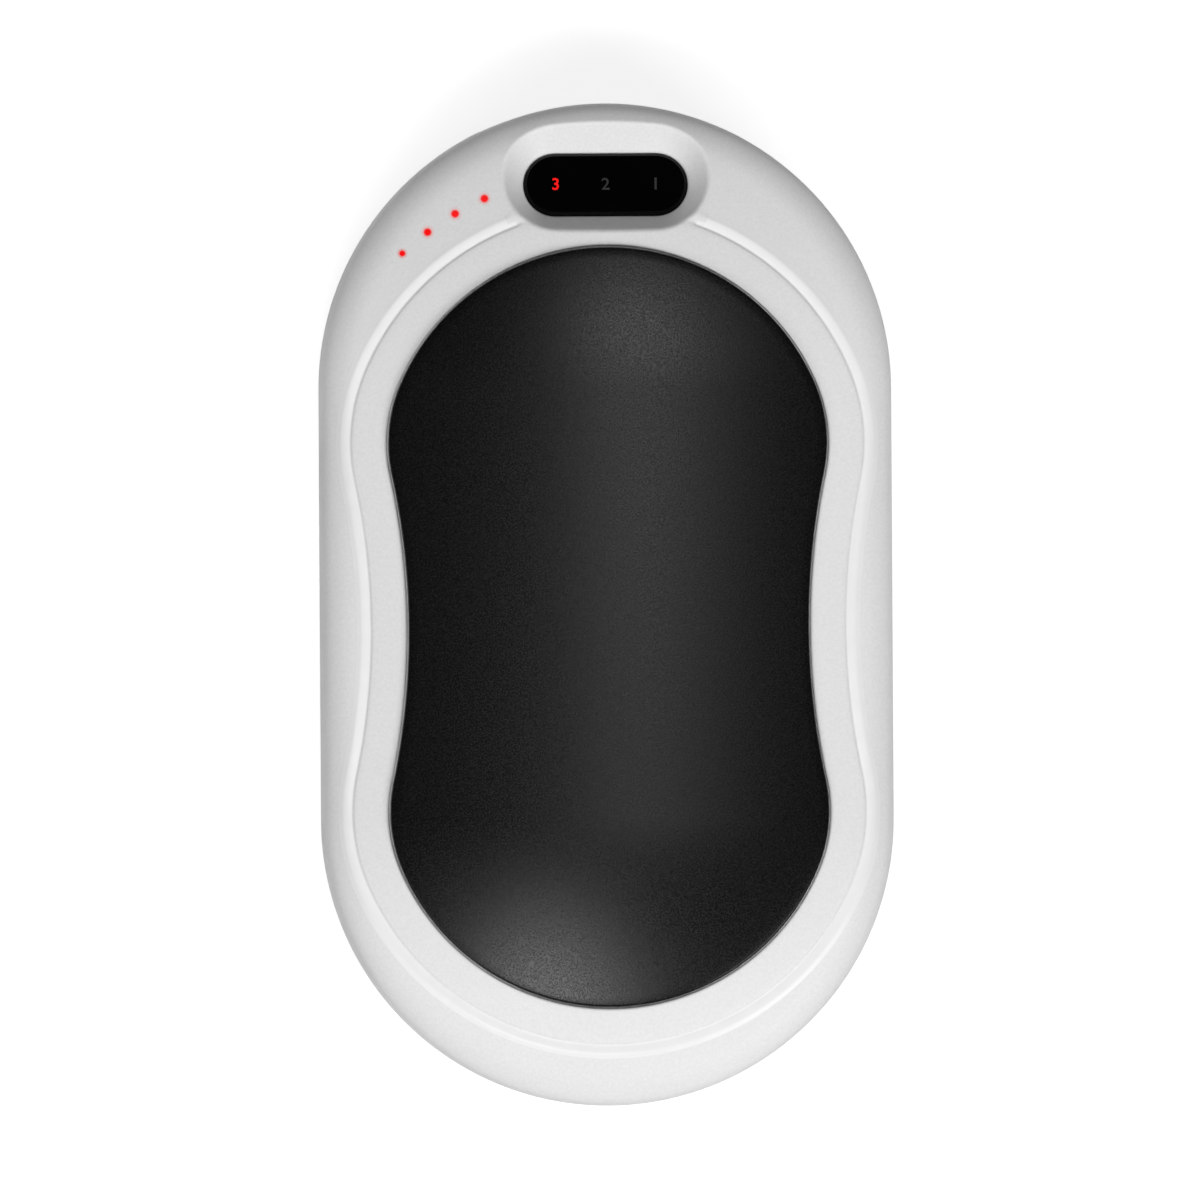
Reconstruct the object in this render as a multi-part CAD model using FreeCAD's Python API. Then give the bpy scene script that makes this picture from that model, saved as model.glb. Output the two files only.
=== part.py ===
import FreeCAD, Part
import math
import os

# A rechargeable hand warmer: two moulded shells closed round a pair of cells, with a heated metal plate let into
# each face, a display window in a dished recess, four charge dots, a side button and two sockets in the end.
# Millimetres. X runs across, Y along towards the display, Z towards the front face. Every piece is drawn about
# the parting plane of the shells and lifted at the end, so that the warmer lies on its flat rear land at Z = 0.

V = FreeCAD.Vector

# Outline of the case
LENGTH = 110.0
WIDTH = 62.8
END_R = WIDTH / 2
HALF_STRAIGHT = (LENGTH - WIDTH) / 2

# Section of one shell, from the crown to the parting plane; angles are the lean of the surface in degrees
CROWN_Z = 13.0
EDGE_TILT = 12.5
SHOULDER_R = 6.0
ROUND_SPLIT = 40.0
SIDE_R = 2.6
DRAFT = 1.5
WALL = 2.0
SEAM = 0.2
LIP_INSET = 0.25
LIP_THICK = 0.8
LIP_HEIGHT = 1.2
LIP_ROOT = 0.6
LIP_GAP = 0.1
LIP_END_ROOM = 0.5

# Reach of a cutting tool that only has to be large enough, its run past a surface, and the gap between pieces that
# lie against each other
OVER = 20.0
PAST = 1.0
TOUCH_GAP = 0.02

# Heat plates; heights are measured from the crown surface
PLATE_LENGTH = 83.2
PLATE_WAIST = 43.8
PLATE_Y = -2.5
PLATE_END_R = 24.7
PLATE_CORNER_R = 16.3
PLATE_WAIST_R = 80.7
PLATE_TOP = 0.8
PLATE_UNDER = -0.4
PLATE_EDGE_R = 0.5
PLATE_GAP = 0.15
REAR_LAND_CUT = 0.4
LEDGE_TOP = -0.7
LEDGE_WIDTH = 2.5
GASKET_INSET = 0.4
FILM_UNDER = -0.65
FOAM_UNDER = -1.85
FILM_INSET = 3.2
FOAM_END_Y = 30.0
FILM_PAD_GAP = 0.5
THERMISTOR = V(2.0, 1.2, 0.8)
THERMISTOR_ROOM = 0.3

# Band round the plate, the bead line at its edge and the fine groove between them
BAND_RISE = 0.16
BAND_EDGE_R = 0.25
BEAD_OFFSET = 4.8
BEAD_WIDTH = 0.9
BEAD_RISE = 0.2
BEAD_EDGE_R = 0.15
BEAD_FOOT_Z = 7.0
GROOVE_WIDTH = 0.22
GROOVE_RISE = -0.04

# Display recess, square to its own tilted floor, and the window in it
LENS_Y = 46.0
LENS_LENGTH = 17.86
LENS_WIDTH = 6.9
LENS_R = LENS_WIDTH / 2
LENS_HALF = (LENS_LENGTH - LENS_WIDTH) / 2
LENS_PROUD = 0.2
LENS_BEVEL = 0.45
LENS_BEVEL_DROP = 0.27
LENS_GAP = 0.08
LENS_FLANGE = 0.7
LENS_FLANGE_THICK = 0.8
LENS_SEAT_GAP = 0.05
DISH_FLOOR_Z = 8.46
DISH_TILT = 14.0
DISH_WALL_LEAN = 45.5
DISH_FOOT = 0.4
DISH_FLOOR = 1.2
DISH_SIDE = 1.5
DISH_TALL = 5.0
LIGHT_BOX_INSET_X = 0.6
LIGHT_BOX_INSET_Y = 0.4
LIGHT_BOX_GAP = 0.1
LIGHT_CELL_HALF_X = 2.2
LIGHT_CELL_HALF_Y = 2.3

# Charge dots, on an arc about the centre of the plate's upper end
DOT_COUNT = 4
DOT_ARC_R = 32.9
DOT_FIRST = 113.9
DOT_STEP = 6.3
DOT_R = 0.42
DOT_HOLE_GAP = 0.03
GUIDE_HALF_WIDTH = 1.0
GUIDE_Z0 = 6.0
GUIDE_Z1 = 7.2
GUIDE_MARGIN = 2.6
PIN_ROOT = 0.1

# Circuit board across the display end, under the front shell
BOARD_Z = 2.4
BOARD_THICK = 1.6
BOARD_TOP = BOARD_Z + BOARD_THICK
BOARD_R = 28.4
BOARD_Y0 = 27.0
BOARD_Y1 = 49.2
BOARD_NOTCH_X = 26.6
BOARD_NOTCH_HALF = 7.0
BOARD_POSTS = [(20.5, 36.5), (-24.4, 30.8)]
POST_R = 2.2
SCREW_CORE_R = 0.84
PILOT_R = 0.87
BOARD_HOLE_R = 1.2
BOARD_SCREW_HEAD_R = 1.9
BOARD_SCREW_HEAD = 1.2
BOARD_SCREW_TIP_Z = 7.0
PILOT_TOP_Z = 7.4
LED_SIZE = V(1.6, 0.8, 0.6)
LED_FOOT = 0.3
LED_LIGHT_HALF = 0.5
LED_STEP = 5.2
CHIP_AT = V(9.0, 33.0, 0)
CHIP_SIZE = V(6.0, 4.0, 1.4)
CHIP_LIFT = 0.2
CHIP_PINS = 4
CHIP_PIN_STEP = 1.27
CHIP_PIN_SIZE = V(0.45, 1.0, 0.4)
CHIP_PIN_FIRST = 0.9
INDUCTOR_AT = V(-20.0, 29.0, 0)
INDUCTOR_SIZE = V(7.0, 7.0, 3.2)
INDUCTOR_EDGE_R = 1.2
CAPACITORS_AT = [V(-12.0, 38.5, 0), V(-12.0, 35.5, 0), V(15.5, 42.0, 0)]
CAPACITOR_SIZE = V(3.2, 1.6, 1.4)

# Flat bay in the end wall, and the two sockets that open into it
BAY_Y = 51.6
BAY_HALF = 14.0
BAY_R = 4.0
BAY_SKIN = 1.8
OUTLET_X = -4.5
OUTLET_SIZE = V(13.1, 14.0, 5.7)
INLET_X = 8.2
INLET_SIZE = V(7.5, 5.6, 2.6)
SOCKET_SHEET = 0.3
SOCKET_GAP = 0.15
SOCKET_SINK = 0.1
SOCKET_FACE_Y = BAY_Y - SOCKET_SINK
SOCKET_FOLD_R = 0.5
SOCKET_BACK = 1.0
SOCKET_FOOT_GAP = 0.05
OUTLET_FOOT = 2.0
OUTLET_TONGUE_HALF = 5.6
OUTLET_TONGUE_IN = 0.6
OUTLET_TONGUE_Z = (BOARD_Z - 2.9, BOARD_Z - 1.06)
INLET_FOOT = 1.2
INLET_TONGUE_HALF = 1.9
INLET_TONGUE_IN = 0.5
INLET_TONGUE_Z = (BOARD_Z - 1.15, BOARD_Z - 0.55)

# Side button, drawn along +X from the centre of the end arc and swung round by its angle
BUTTON_ANGLE = 16.0
BUTTON_HALF = 3.3
BUTTON_R = 2.2
BUTTON_GAP = 0.2
BUTTON_TRAVEL = 0.4
BUTTON_FLANGE = 0.8
BUTTON_FLANGE_X = (27.7, 29.1)
BUTTON_STEM_R = 1.4
BUTTON_STEM_ROOT = 0.2
PLUNGER_TIP_X = 26.3
PLUNGER_R = 1.0
PLUNGER_BASE_R = 1.5
PLUNGER_BASE_X = (24.0, 24.4)
SWITCH_X = (22.2, 25.2)
SWITCH_HALF = 3.0
SWITCH_FOOT_Z = -2.6
SWITCH_CAVITY_R = 1.9
DOME_ROOM = 0.6
SWITCH_CAVITY_X = (PLUNGER_BASE_X[0] - BUTTON_TRAVEL - DOME_ROOM, PLUNGER_BASE_X[1] + 0.1)
SWITCH_HOLE_R = 1.15
DOME_EDGE_R = 1.8
DOME_RISE = 0.9
DOME_SHEET = 0.1

# Cells, their strips and their cradle
CELL_R = 9.15
CELL_LENGTH = 65.0
CELL_X = 9.35
CELL_Y0 = -41.0
CELL_Y1 = CELL_Y0 + CELL_LENGTH
CELL_CAP_R = 4.2
CELL_CAP_RISE = 0.6
CELL_CAP_ROOT = 0.4
CELL_EDGE_R = 0.8
CELL_GROOVE_R = 0.5
CELL_GROOVE_IN = 3.0
CELL_GROOVE_OUT = 0.15
STRIP_GAP = 0.05
STRIP_SHEET = 0.2
STRIP_HALF = 13.0
STRIP_HALF_Z = 3.5
TAB_X = (3.0, 7.0)
TAB_END_Y = 30.0
NEGATIVE_TAB_HALF = 2.0
NEGATIVE_TAB_Z = 8.0
CRADLE_GAP = 0.1
CRADLE_WALL = 0.9
CRADLE_END_WALL = 1.0
CRADLE_END_CLEAR = 0.5
CRADLE_END_HALF = 15.0
CRADLE_END_Z = (-9.0, 3.0)
CRADLE_SHELL_GAP = 0.2
TAB_ROOM = 0.5
TAB_ROOM_Z = 2.0
RAIL_X = (18.7, 20.4)
RAIL_THICK = 1.6
EAR_X = 24.6
EAR_REACH = 2.4
EAR_HALF = 3.0
EAR_YS = (-32.0, 2.0)
EAR_HOLE_R = 1.3
EAR_PIN_R = 1.15
EAR_PIN_TOP = 0.2
EAR_POST_R = 2.0

# Case screws, driven from under the rear plate
SCREW_X = 21.0
SCREW_YS = (-22.6, 17.8)
SCREW_PAD_R = 3.0
BOSS_R = 2.2
BOSS_CLEAR = 2.6
SCREW_HOLE_R = 1.15
SCREW_SHANK_R = 1.0
SCREW_HEAD_R = 1.85
SCREW_HEAD = 1.0
SCREW_TIP_Z = 7.5
SCREW_TIP_GAP = 0.5
SCREW_NECK_Z = -0.5
SCREW_SINK = 0.15
SCREW_HEAD_GAP = 0.1
SCREW_RECESS_R = 0.5
SCREW_RECESS = 0.6

# Leads; the heater pairs run in planes across the case, and their bends are given along it and up
LEAD_R = 0.6
LEAD_BEND = 0.45
NEGATIVE_LEAD_R = 0.75
NEGATIVE_LEAD_Z = 7.2
NEGATIVE_LEAD_YS = (26.0, 30.0, 33.5)
FRONT_LEAD_XS = (-3.0, 3.0)
FRONT_LEAD_BENDS = [(34.0, 8.8), (32.2, 6.4)]
REAR_LEAD_XS = (6.0, 9.0)
REAR_LEAD_BENDS = [(33.0, -6.0), (31.5, -2.0)]


def lean(angle):
    """Outward normal, in the section plane, of a surface that leans by this angle from level."""
    a = math.radians(angle)
    return V(math.sin(a), 0, math.cos(a))


def rise(angle_a, angle_b):
    """Change of height and of reach, for a unit radius, along an arc between two leans."""
    return (lean(angle_a) - lean(angle_b)).z, (lean(angle_b) - lean(angle_a)).x


SIDE_LEAN = 90.0 - DRAFT
SHOULDER_DROP, SHOULDER_RUN = [SHOULDER_R * k for k in rise(EDGE_TILT, ROUND_SPLIT)]
SIDE_DROP, SIDE_RUN = [SIDE_R * k for k in rise(ROUND_SPLIT, SIDE_LEAN)]
DRAFT_SLOPE = math.tan(math.radians(DRAFT))
CROWN_SLOPE = math.tan(math.radians(EDGE_TILT / 2))
DRAFT_RUN_FROM_CROWN = (CROWN_Z - SHOULDER_DROP - SIDE_DROP) * DRAFT_SLOPE
CROWN_REACH = (END_R - SHOULDER_RUN - SIDE_RUN - DRAFT_RUN_FROM_CROWN) / (1 - CROWN_SLOPE * DRAFT_SLOPE)
CROWN_R = CROWN_REACH / lean(EDGE_TILT).x
CROWN_CENTRE = V(0, 0, CROWN_Z - CROWN_R)
SHOULDER_CENTRE = CROWN_CENTRE + lean(EDGE_TILT) * (CROWN_R - SHOULDER_R)
SIDE_CENTRE = SHOULDER_CENTRE + lean(ROUND_SPLIT) * (SHOULDER_R - SIDE_R)
CAP_REACH = END_R - 2 * SEAM
LIFT = CROWN_Z + PLATE_TOP - REAR_LAND_CUT


def crown_height(x, y, offset=0.0):
    """Height of the crown surface, moved out by an offset, over a point of the parting plane."""
    past_end = max(abs(y) - HALF_STRAIGHT, 0.0)
    reach = math.hypot(x, past_end)
    return CROWN_CENTRE.z + math.sqrt((CROWN_R + offset) ** 2 - reach ** 2)


def line(a, b):
    return Part.LineSegment(a, b).toShape()


def arc(centre, radius, angle_a, angle_b):
    """Arc of the section, between two leans."""
    points = [centre + lean(t) * radius for t in (angle_a, (angle_a + angle_b) / 2, angle_b)]
    return Part.Arc(*points).toShape()


def polygon(points):
    """Flat face through corner points."""
    return Part.Face(Part.makePolygon(points + points[:1]))


def section(inset=0.0, seam=0.0):
    """Half section of a shell's solid form, set in from the outside, with an optional bevel at the parting line."""
    crest = CROWN_CENTRE + lean(0) * (CROWN_R - inset)
    side_end = SIDE_CENTRE + lean(SIDE_LEAN) * (SIDE_R - inset)
    seam_top = V(side_end.x + (side_end.z - seam) * DRAFT_SLOPE, 0, seam)
    foot = V(side_end.x + side_end.z * DRAFT_SLOPE - seam, 0, 0)
    edges = [
        line(V(), crest),
        arc(CROWN_CENTRE, CROWN_R - inset, 0, EDGE_TILT),
        arc(SHOULDER_CENTRE, SHOULDER_R - inset, EDGE_TILT, ROUND_SPLIT),
        arc(SIDE_CENTRE, SIDE_R - inset, ROUND_SPLIT, SIDE_LEAN),
        line(side_end, seam_top),
    ]
    if seam:
        edges.append(line(seam_top, foot))
    edges.append(line(foot, V()))
    return Part.Face(Part.Wire(edges))


def stadium_solid(face, half_straight):
    """Solid made by carrying a half section round a stadium whose straight sides run along Y."""
    pieces = []
    for side in (1, -1):
        end = face.copy()
        end.translate(V(0, side * half_straight, 0))
        pieces.append(end.revolve(V(0, side * half_straight, 0), V(0, 0, 1), side * 180))
    start = face.copy()
    start.translate(V(0, -half_straight, 0))
    right = start.extrude(V(0, 2 * half_straight, 0))
    pieces += [right, right.mirror(V(), V(1, 0, 0))]
    return pieces[0].fuse(pieces[1:]).removeSplitter()


def cap(offset):
    """Solid under the crown surface, moved out by an offset and carried straight on past the shoulder."""
    edge_lean = math.degrees(math.asin(CAP_REACH / (CROWN_R + offset)))
    top = arc(CROWN_CENTRE, CROWN_R + offset, 0, edge_lean)
    crest = V(0, 0, CROWN_Z + offset)
    edge = CROWN_CENTRE + lean(edge_lean) * (CROWN_R + offset)
    sides = [line(V(), crest), top, line(edge, V(CAP_REACH, 0, 0)), line(V(CAP_REACH, 0, 0), V())]
    return stadium_solid(Part.Face(Part.Wire(sides)), HALF_STRAIGHT)


def hourglass(offset):
    """Plate outline: end arcs, corner arcs and waist arcs, all tangent, grown outwards by an offset."""
    end = V(0, PLATE_LENGTH / 2 - PLATE_END_R, 0)
    waist = V(PLATE_WAIST / 2 + PLATE_WAIST_R, 0, 0)
    to_end = PLATE_END_R - PLATE_CORNER_R
    to_waist = PLATE_WAIST_R + PLATE_CORNER_R
    span = waist.sub(end)
    along = (to_end ** 2 - to_waist ** 2 + span.Length ** 2) / (2 * span.Length)
    across = math.sqrt(to_end ** 2 - along ** 2)
    unit = V(span).normalize()
    corner = end + unit * along + V(-unit.y, unit.x, 0) * across
    out_of_end = (corner - end).normalize()
    into_waist = (waist - corner).normalize()
    corner_mid = (out_of_end + into_waist).normalize()
    corner_r = PLATE_CORNER_R + offset
    top = V(0, PLATE_LENGTH / 2 + offset, 0)
    end_point = corner + out_of_end * corner_r
    mid_point = corner + corner_mid * corner_r
    waist_point = corner + into_waist * corner_r
    waist_mid = V(PLATE_WAIST / 2 + offset, 0, 0)

    def turned(p, sx, sy):
        return V(p.x * sx, p.y * sy + PLATE_Y, 0)

    edges = []
    for sx, sy in ((1, 1), (-1, -1)):
        edges.append(Part.Arc(*[turned(end_point, -sx, sy), turned(top, sx, sy), turned(end_point, sx, sy)]))
        edges.append(Part.Arc(*[turned(p, sx, sy) for p in (end_point, mid_point, waist_point)]))
        edges.append(Part.Arc(turned(waist_point, sx, sy), turned(waist_mid, sx, sy), turned(waist_point, sx, -sy)))
        edges.append(Part.Arc(*[turned(p, sx, -sy) for p in (waist_point, mid_point, end_point)]))
    return Part.Face(Part.Wire([e.toShape() for e in edges]))


def hourglass_prism(offset, z0=0.0):
    outline = hourglass(offset)
    outline.translate(V(0, 0, z0))
    return outline.extrude(V(0, 0, OVER - z0))


def cylinder(radius, x, y, z0, z1):
    return Part.makeCylinder(radius, z1 - z0, V(x, y, z0))


def rod(radius, x0, x1, y=0.0, z=0.0):
    """Cylinder along X."""
    return Part.makeCylinder(radius, x1 - x0, V(x0, y, z), V(1, 0, 0))


def block(x0, x1, y0, y1, z0, z1):
    return Part.makeBox(x1 - x0, y1 - y0, z1 - z0, V(x0, y0, z0))


def pill(half_straight, radius, height):
    """Upright prism of a stadium whose straight sides run along X."""
    body = block(-half_straight, half_straight, -radius, radius, 0, height)
    ends = [cylinder(radius, side * half_straight, 0, 0, height) for side in (1, -1)]
    return body.fuse(ends).removeSplitter()


def rear(shape):
    """The same shape on the rear side of the parting plane."""
    return shape.mirror(V(), V(0, 0, 1))


def screw_points():
    return [(side * SCREW_X, y) for y in SCREW_YS for side in (1, -1)]


def soften(shape, edges, radius):
    """Round the given edges."""
    return shape.makeFillet(radius, edges)


def top_loop_edges(shape, offset, top):
    """Edges where a prism of the plate outline, grown by an offset, meets the crown moved out by a height."""
    outline = hourglass(offset).OuterWire
    found = []
    for edge in shape.Edges:
        a, b = edge.ParameterRange
        points = [edge.valueAt(a + (b - a) * k) for k in (0.1, 0.5, 0.9)]
        on_crown = all(abs(p.z - crown_height(p.x, p.y, top)) < 0.01 for p in points)
        flat = [Part.Vertex(p.x, p.y, 0) for p in points]
        if on_crown and all(v.distToShape(outline)[0] < 0.01 for v in flat):
            found.append(edge)
    return found


def bead_ring():
    """Rounded line that runs round the band."""
    outside = BEAD_OFFSET + BEAD_WIDTH / 2
    inside = BEAD_OFFSET - BEAD_WIDTH / 2
    ring = hourglass_prism(outside, BEAD_FOOT_Z).cut(hourglass_prism(inside, BEAD_FOOT_Z))
    ring = ring.common(cap(BEAD_RISE))
    edges = top_loop_edges(ring, outside, BEAD_RISE) + top_loop_edges(ring, inside, BEAD_RISE)
    return soften(ring, edges, BEAD_EDGE_R)


def bead_groove():
    """Fine groove that parts the bead from the band."""
    outside = BEAD_OFFSET - BEAD_WIDTH / 2
    ring = hourglass_prism(outside, BEAD_FOOT_Z).cut(hourglass_prism(outside - GROOVE_WIDTH, BEAD_FOOT_Z))
    return ring.cut(cap(GROOVE_RISE))


def shell_form():
    """Outside of one shell as a solid: crowned stadium, raised band and bead, and the groove between them."""
    body = stadium_solid(section(0, SEAM), HALF_STRAIGHT)
    band = hourglass_prism(BEAD_OFFSET).common(cap(BAND_RISE))
    return body.fuse([band, bead_ring()]).cut(bead_groove())


def shell_inside(inset):
    return stadium_solid(section(inset), HALF_STRAIGHT)


def moulded_shell(inner_features):
    """One shell: the outside form with a seat for the plate, hollowed to its wall but for the inner features.

    The seat is a pocket down to the ledge, and the ledge has its own opening between the screw pads.
    """
    form = shell_form().cut(hourglass_prism(PLATE_GAP).cut(cap(LEDGE_TOP)))
    form = soften(form, top_loop_edges(form, PLATE_GAP, BAND_RISE), BAND_EDGE_R)
    hollow = shell_inside(WALL)
    for feature in [screw_bosses(), bay_tub()] + inner_features:
        hollow = hollow.cut(feature)
    pads = Part.Compound([cylinder(SCREW_PAD_R, x, y, 0, OVER) for x, y in screw_points()])
    return form.cut(hollow).cut(hourglass_prism(-LEDGE_WIDTH).cut(pads))


def screw_bosses():
    """Posts that carry the case screws, from the parting plane up to the ledge."""
    return Part.Compound([cylinder(BOSS_R, x, y, 0, OVER) for x, y in screw_points()])


def bay_tub():
    """Walls of the socket bay, inside the end wall."""
    half = BAY_HALF + BAY_SKIN
    return block(-half, half, BAY_Y - BAY_SKIN, LENGTH, 0, BAY_R + BAY_SKIN)


def bay_cut():
    """Space of the bay and of the two socket windows in its floor."""
    bay = pill(BAY_HALF - BAY_R, BAY_R, LENGTH)
    bay.rotate(V(), V(1, 0, 0), -90)
    bay.translate(V(0, BAY_Y, 0))
    windows = [socket_block(x, size, SOCKET_GAP) for x, size in ((OUTLET_X, OUTLET_SIZE), (INLET_X, INLET_SIZE))]
    return bay.fuse(windows)


def socket_block(x, size, grown=0.0):
    """Outside of a socket that hangs under the board with its mouth in the bay."""
    half = size.x / 2 + grown
    body = block(x - half, x + half, SOCKET_FACE_Y - size.y, SOCKET_FACE_Y, BOARD_Z - size.z - grown, BOARD_Z + grown)
    if grown:
        body.translate(V(0, BAY_Y - SOCKET_FACE_Y + grown, 0))
    return body


def swing(shape):
    """Swing a shape drawn along +X round to the button's place on the end arc."""
    shape = shape.copy()
    shape.translate(V(0, HALF_STRAIGHT, 0))
    shape.rotate(V(0, HALF_STRAIGHT, 0), V(0, 0, 1), BUTTON_ANGLE)
    return shape


def button_prism(grown, x0, x1):
    """Pill prism along +X, level with the parting plane."""
    prism = pill(BUTTON_HALF, BUTTON_R + grown, x1 - x0)
    prism.rotate(V(), V(0, 0, 1), 90)
    prism.rotate(V(), V(0, 1, 0), 90)
    prism.translate(V(x0, 0, 0))
    return prism


def button_slot():
    return swing(button_prism(BUTTON_GAP, BUTTON_FLANGE_X[0], END_R + PAST))


def dish_place(shape):
    """Carry a shape drawn on a level floor, straight sides along Y, to the display recess."""
    shape = shape.copy()
    shape.rotate(V(), V(0, 0, 1), 90)
    shape.rotate(V(), V(1, 0, 0), -DISH_TILT)
    shape.translate(V(0, LENS_Y, DISH_FLOOR_Z))
    return shape


def dish_form(grown, depth):
    """Stadium funnel: a flat floor and walls that lean outwards."""
    foot = LENS_R + DISH_FOOT + grown
    mouth = foot + (DISH_TALL + depth) / math.tan(math.radians(DISH_WALL_LEAN))
    corners = [V(0, 0, -depth), V(foot, 0, -depth), V(mouth, 0, DISH_TALL), V(0, 0, DISH_TALL)]
    return dish_place(stadium_solid(polygon(corners), LENS_HALF))


def dot_points():
    centre_y = PLATE_Y + PLATE_LENGTH / 2 - PLATE_END_R
    angles = [math.radians(DOT_FIRST + DOT_STEP * i) for i in range(DOT_COUNT)]
    return [(DOT_ARC_R * math.cos(a), centre_y + DOT_ARC_R * math.sin(a)) for a in angles]


def wall_ring(inset, depth, z0, z1):
    """Upright ring round the shells' walls, from an inset under the outside to a depth under it."""
    outer, inner = END_R - inset, END_R - depth
    corners = [V(inner, 0, z0), V(outer, 0, z0), V(outer, 0, z1), V(inner, 0, z1)]
    return stadium_solid(polygon(corners), HALF_STRAIGHT)


def stopped(ring, clearance):
    """A ring round the walls without its stretches at the button and at the socket bay."""
    button_half = BUTTON_HALF + BUTTON_R + BUTTON_FLANGE + LIP_END_ROOM + clearance
    bay_half = BAY_HALF + 2 * BAY_SKIN + clearance
    at_button = swing(block(OVER, END_R + PAST, -button_half, button_half, -OVER, OVER))
    at_bay = block(-bay_half, bay_half, BAY_Y - 2 * BAY_SKIN, LENGTH, -OVER, OVER)
    return ring.cut(at_button).cut(at_bay)


def lip():
    """Lip that stands up from the rear shell's wall."""
    depth = WALL - LIP_INSET
    return stopped(wall_ring(depth - LIP_THICK, depth, -LIP_ROOT, LIP_HEIGHT), LIP_GAP)


def lip_rebate():
    """Step in the front shell's wall that the lip slides into, open to the inside."""
    return stopped(wall_ring(WALL - LIP_INSET - LIP_THICK - LIP_GAP, 2 * WALL, 0, LIP_HEIGHT + LIP_GAP), 0)


def front_housing():
    posts = Part.Compound([cylinder(POST_R, x, y, BOARD_TOP, OVER) for x, y in BOARD_POSTS])
    shell = moulded_shell([dish_form(DISH_SIDE, DISH_FLOOR), posts])
    pilots = [cylinder(PILOT_R, x, y, 0, SCREW_TIP_Z + SCREW_TIP_GAP) for x, y in screw_points()]
    pilots += [cylinder(PILOT_R, x, y, BOARD_TOP, PILOT_TOP_Z) for x, y in BOARD_POSTS]
    dots = [cylinder(DOT_R + DOT_HOLE_GAP, x, y, GUIDE_Z1, OVER) for x, y in dot_points()]
    hole_r = LENS_R + LENS_GAP
    hole = polygon([V(0, 0, -OVER), V(hole_r, 0, -OVER), V(hole_r, 0, PAST), V(0, 0, PAST)])
    lens_hole = dish_place(stadium_solid(hole, LENS_HALF))
    lens_hole = lens_hole.common(block(-END_R, END_R, 0, LENGTH, BAY_R + BAY_SKIN - PAST, OVER))
    for tool in [dish_form(0, 0), lens_hole, bay_cut(), button_slot()]:
        shell = shell.cut(tool)
    shell = shell.cut(Part.Compound(pilots + dots))
    return shell.cut(lip_rebate())


def rear_housing():
    posts = []
    for side in (1, -1):
        for y in EAR_YS:
            posts.append(cylinder(EAR_POST_R, side * EAR_X, y, RAIL_THICK, OVER))
            posts.append(cylinder(EAR_PIN_R, side * EAR_X, y, EAR_PIN_TOP, RAIL_THICK))
    shell = rear(moulded_shell([posts[0].fuse(posts[1:])]))
    shell = shell.fuse(lip())
    holes = []
    for x, y in screw_points():
        seat_z = -crown_height(x, y, LEDGE_TOP) - PAST
        holes.append(rear(cylinder(SCREW_HOLE_R, x, y, 0, OVER)))
        holes.append(screw_head(x, y, SCREW_SINK, seat_z))
    return shell.cut(Part.Compound(holes)).cut(bay_cut()).cut(button_slot())


def screw_head(x, y, grown, z_out):
    """Countersunk head, drawn out to a height so that it can also cut its own seat."""
    top_z = head_z(x, y)
    cone = Part.makeCone(SCREW_HEAD_R + grown, SCREW_SHANK_R + grown, SCREW_HEAD, V(x, y, top_z))
    if z_out < top_z:
        return cone.fuse(cylinder(SCREW_HEAD_R + grown, x, y, z_out, top_z))
    return cone


def head_z(x, y):
    """Level of a case screw's head, just under the lowest edge of its pad."""
    return -crown_height(abs(x) + SCREW_HEAD_R, y, LEDGE_TOP) + SCREW_HEAD_GAP


def housing_screws():
    screws = []
    for x, y in screw_points():
        neck_z = head_z(x, y) + SCREW_HEAD
        shank = cylinder(SCREW_SHANK_R, x, y, neck_z, SCREW_NECK_Z)
        thread = cylinder(SCREW_CORE_R, x, y, SCREW_NECK_Z, SCREW_TIP_Z)
        recess = cylinder(SCREW_RECESS_R, x, y, neck_z - SCREW_HEAD, neck_z - SCREW_HEAD + SCREW_RECESS)
        screws.append(screw_head(x, y, 0, OVER).fuse([shank, thread]).cut(recess).removeSplitter())
    return Part.Compound(screws)


def board_screws():
    screws = []
    for x, y in BOARD_POSTS:
        under = BOARD_Z - BOARD_SCREW_HEAD
        head = cylinder(BOARD_SCREW_HEAD_R, x, y, under, BOARD_Z)
        shank = cylinder(SCREW_CORE_R, x, y, BOARD_Z, BOARD_SCREW_TIP_Z)
        recess = cylinder(SCREW_RECESS_R, x, y, under, under + SCREW_RECESS)
        screws.append(head.fuse(shank).cut(recess).removeSplitter())
    return Part.Compound(screws)


def crown_layer(top, under, inset):
    """Sheet that follows the crown, cut to the plate outline set in by an inset."""
    return cap(top).cut(cap(under)).common(hourglass_prism(-inset))


def heat_plate():
    plate = crown_layer(PLATE_TOP, PLATE_UNDER, 0)
    return soften(plate, top_loop_edges(plate, 0, PLATE_TOP), PLATE_EDGE_R)


def rear_heat_plate():
    land = block(-WIDTH, WIDTH, -LENGTH, LENGTH, -2 * OVER, -LIFT)
    return rear(heat_plate()).cut(land)


def plate_gasket():
    ring = crown_layer(PLATE_UNDER, LEDGE_TOP, GASKET_INSET)
    return ring.cut(hourglass_prism(GASKET_INSET - LEDGE_WIDTH))


def pad_clearance():
    return Part.Compound([cylinder(SCREW_PAD_R + FILM_PAD_GAP, x, y, 0, OVER) for x, y in screw_points()])


def heater_film():
    return crown_layer(PLATE_UNDER, FILM_UNDER, FILM_INSET).cut(pad_clearance())


def insulator():
    foam = crown_layer(FILM_UNDER, FOAM_UNDER, FILM_INSET).cut(pad_clearance())
    return foam.cut(block(-WIDTH, WIDTH, FOAM_END_Y, LENGTH, 0, OVER))


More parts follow.
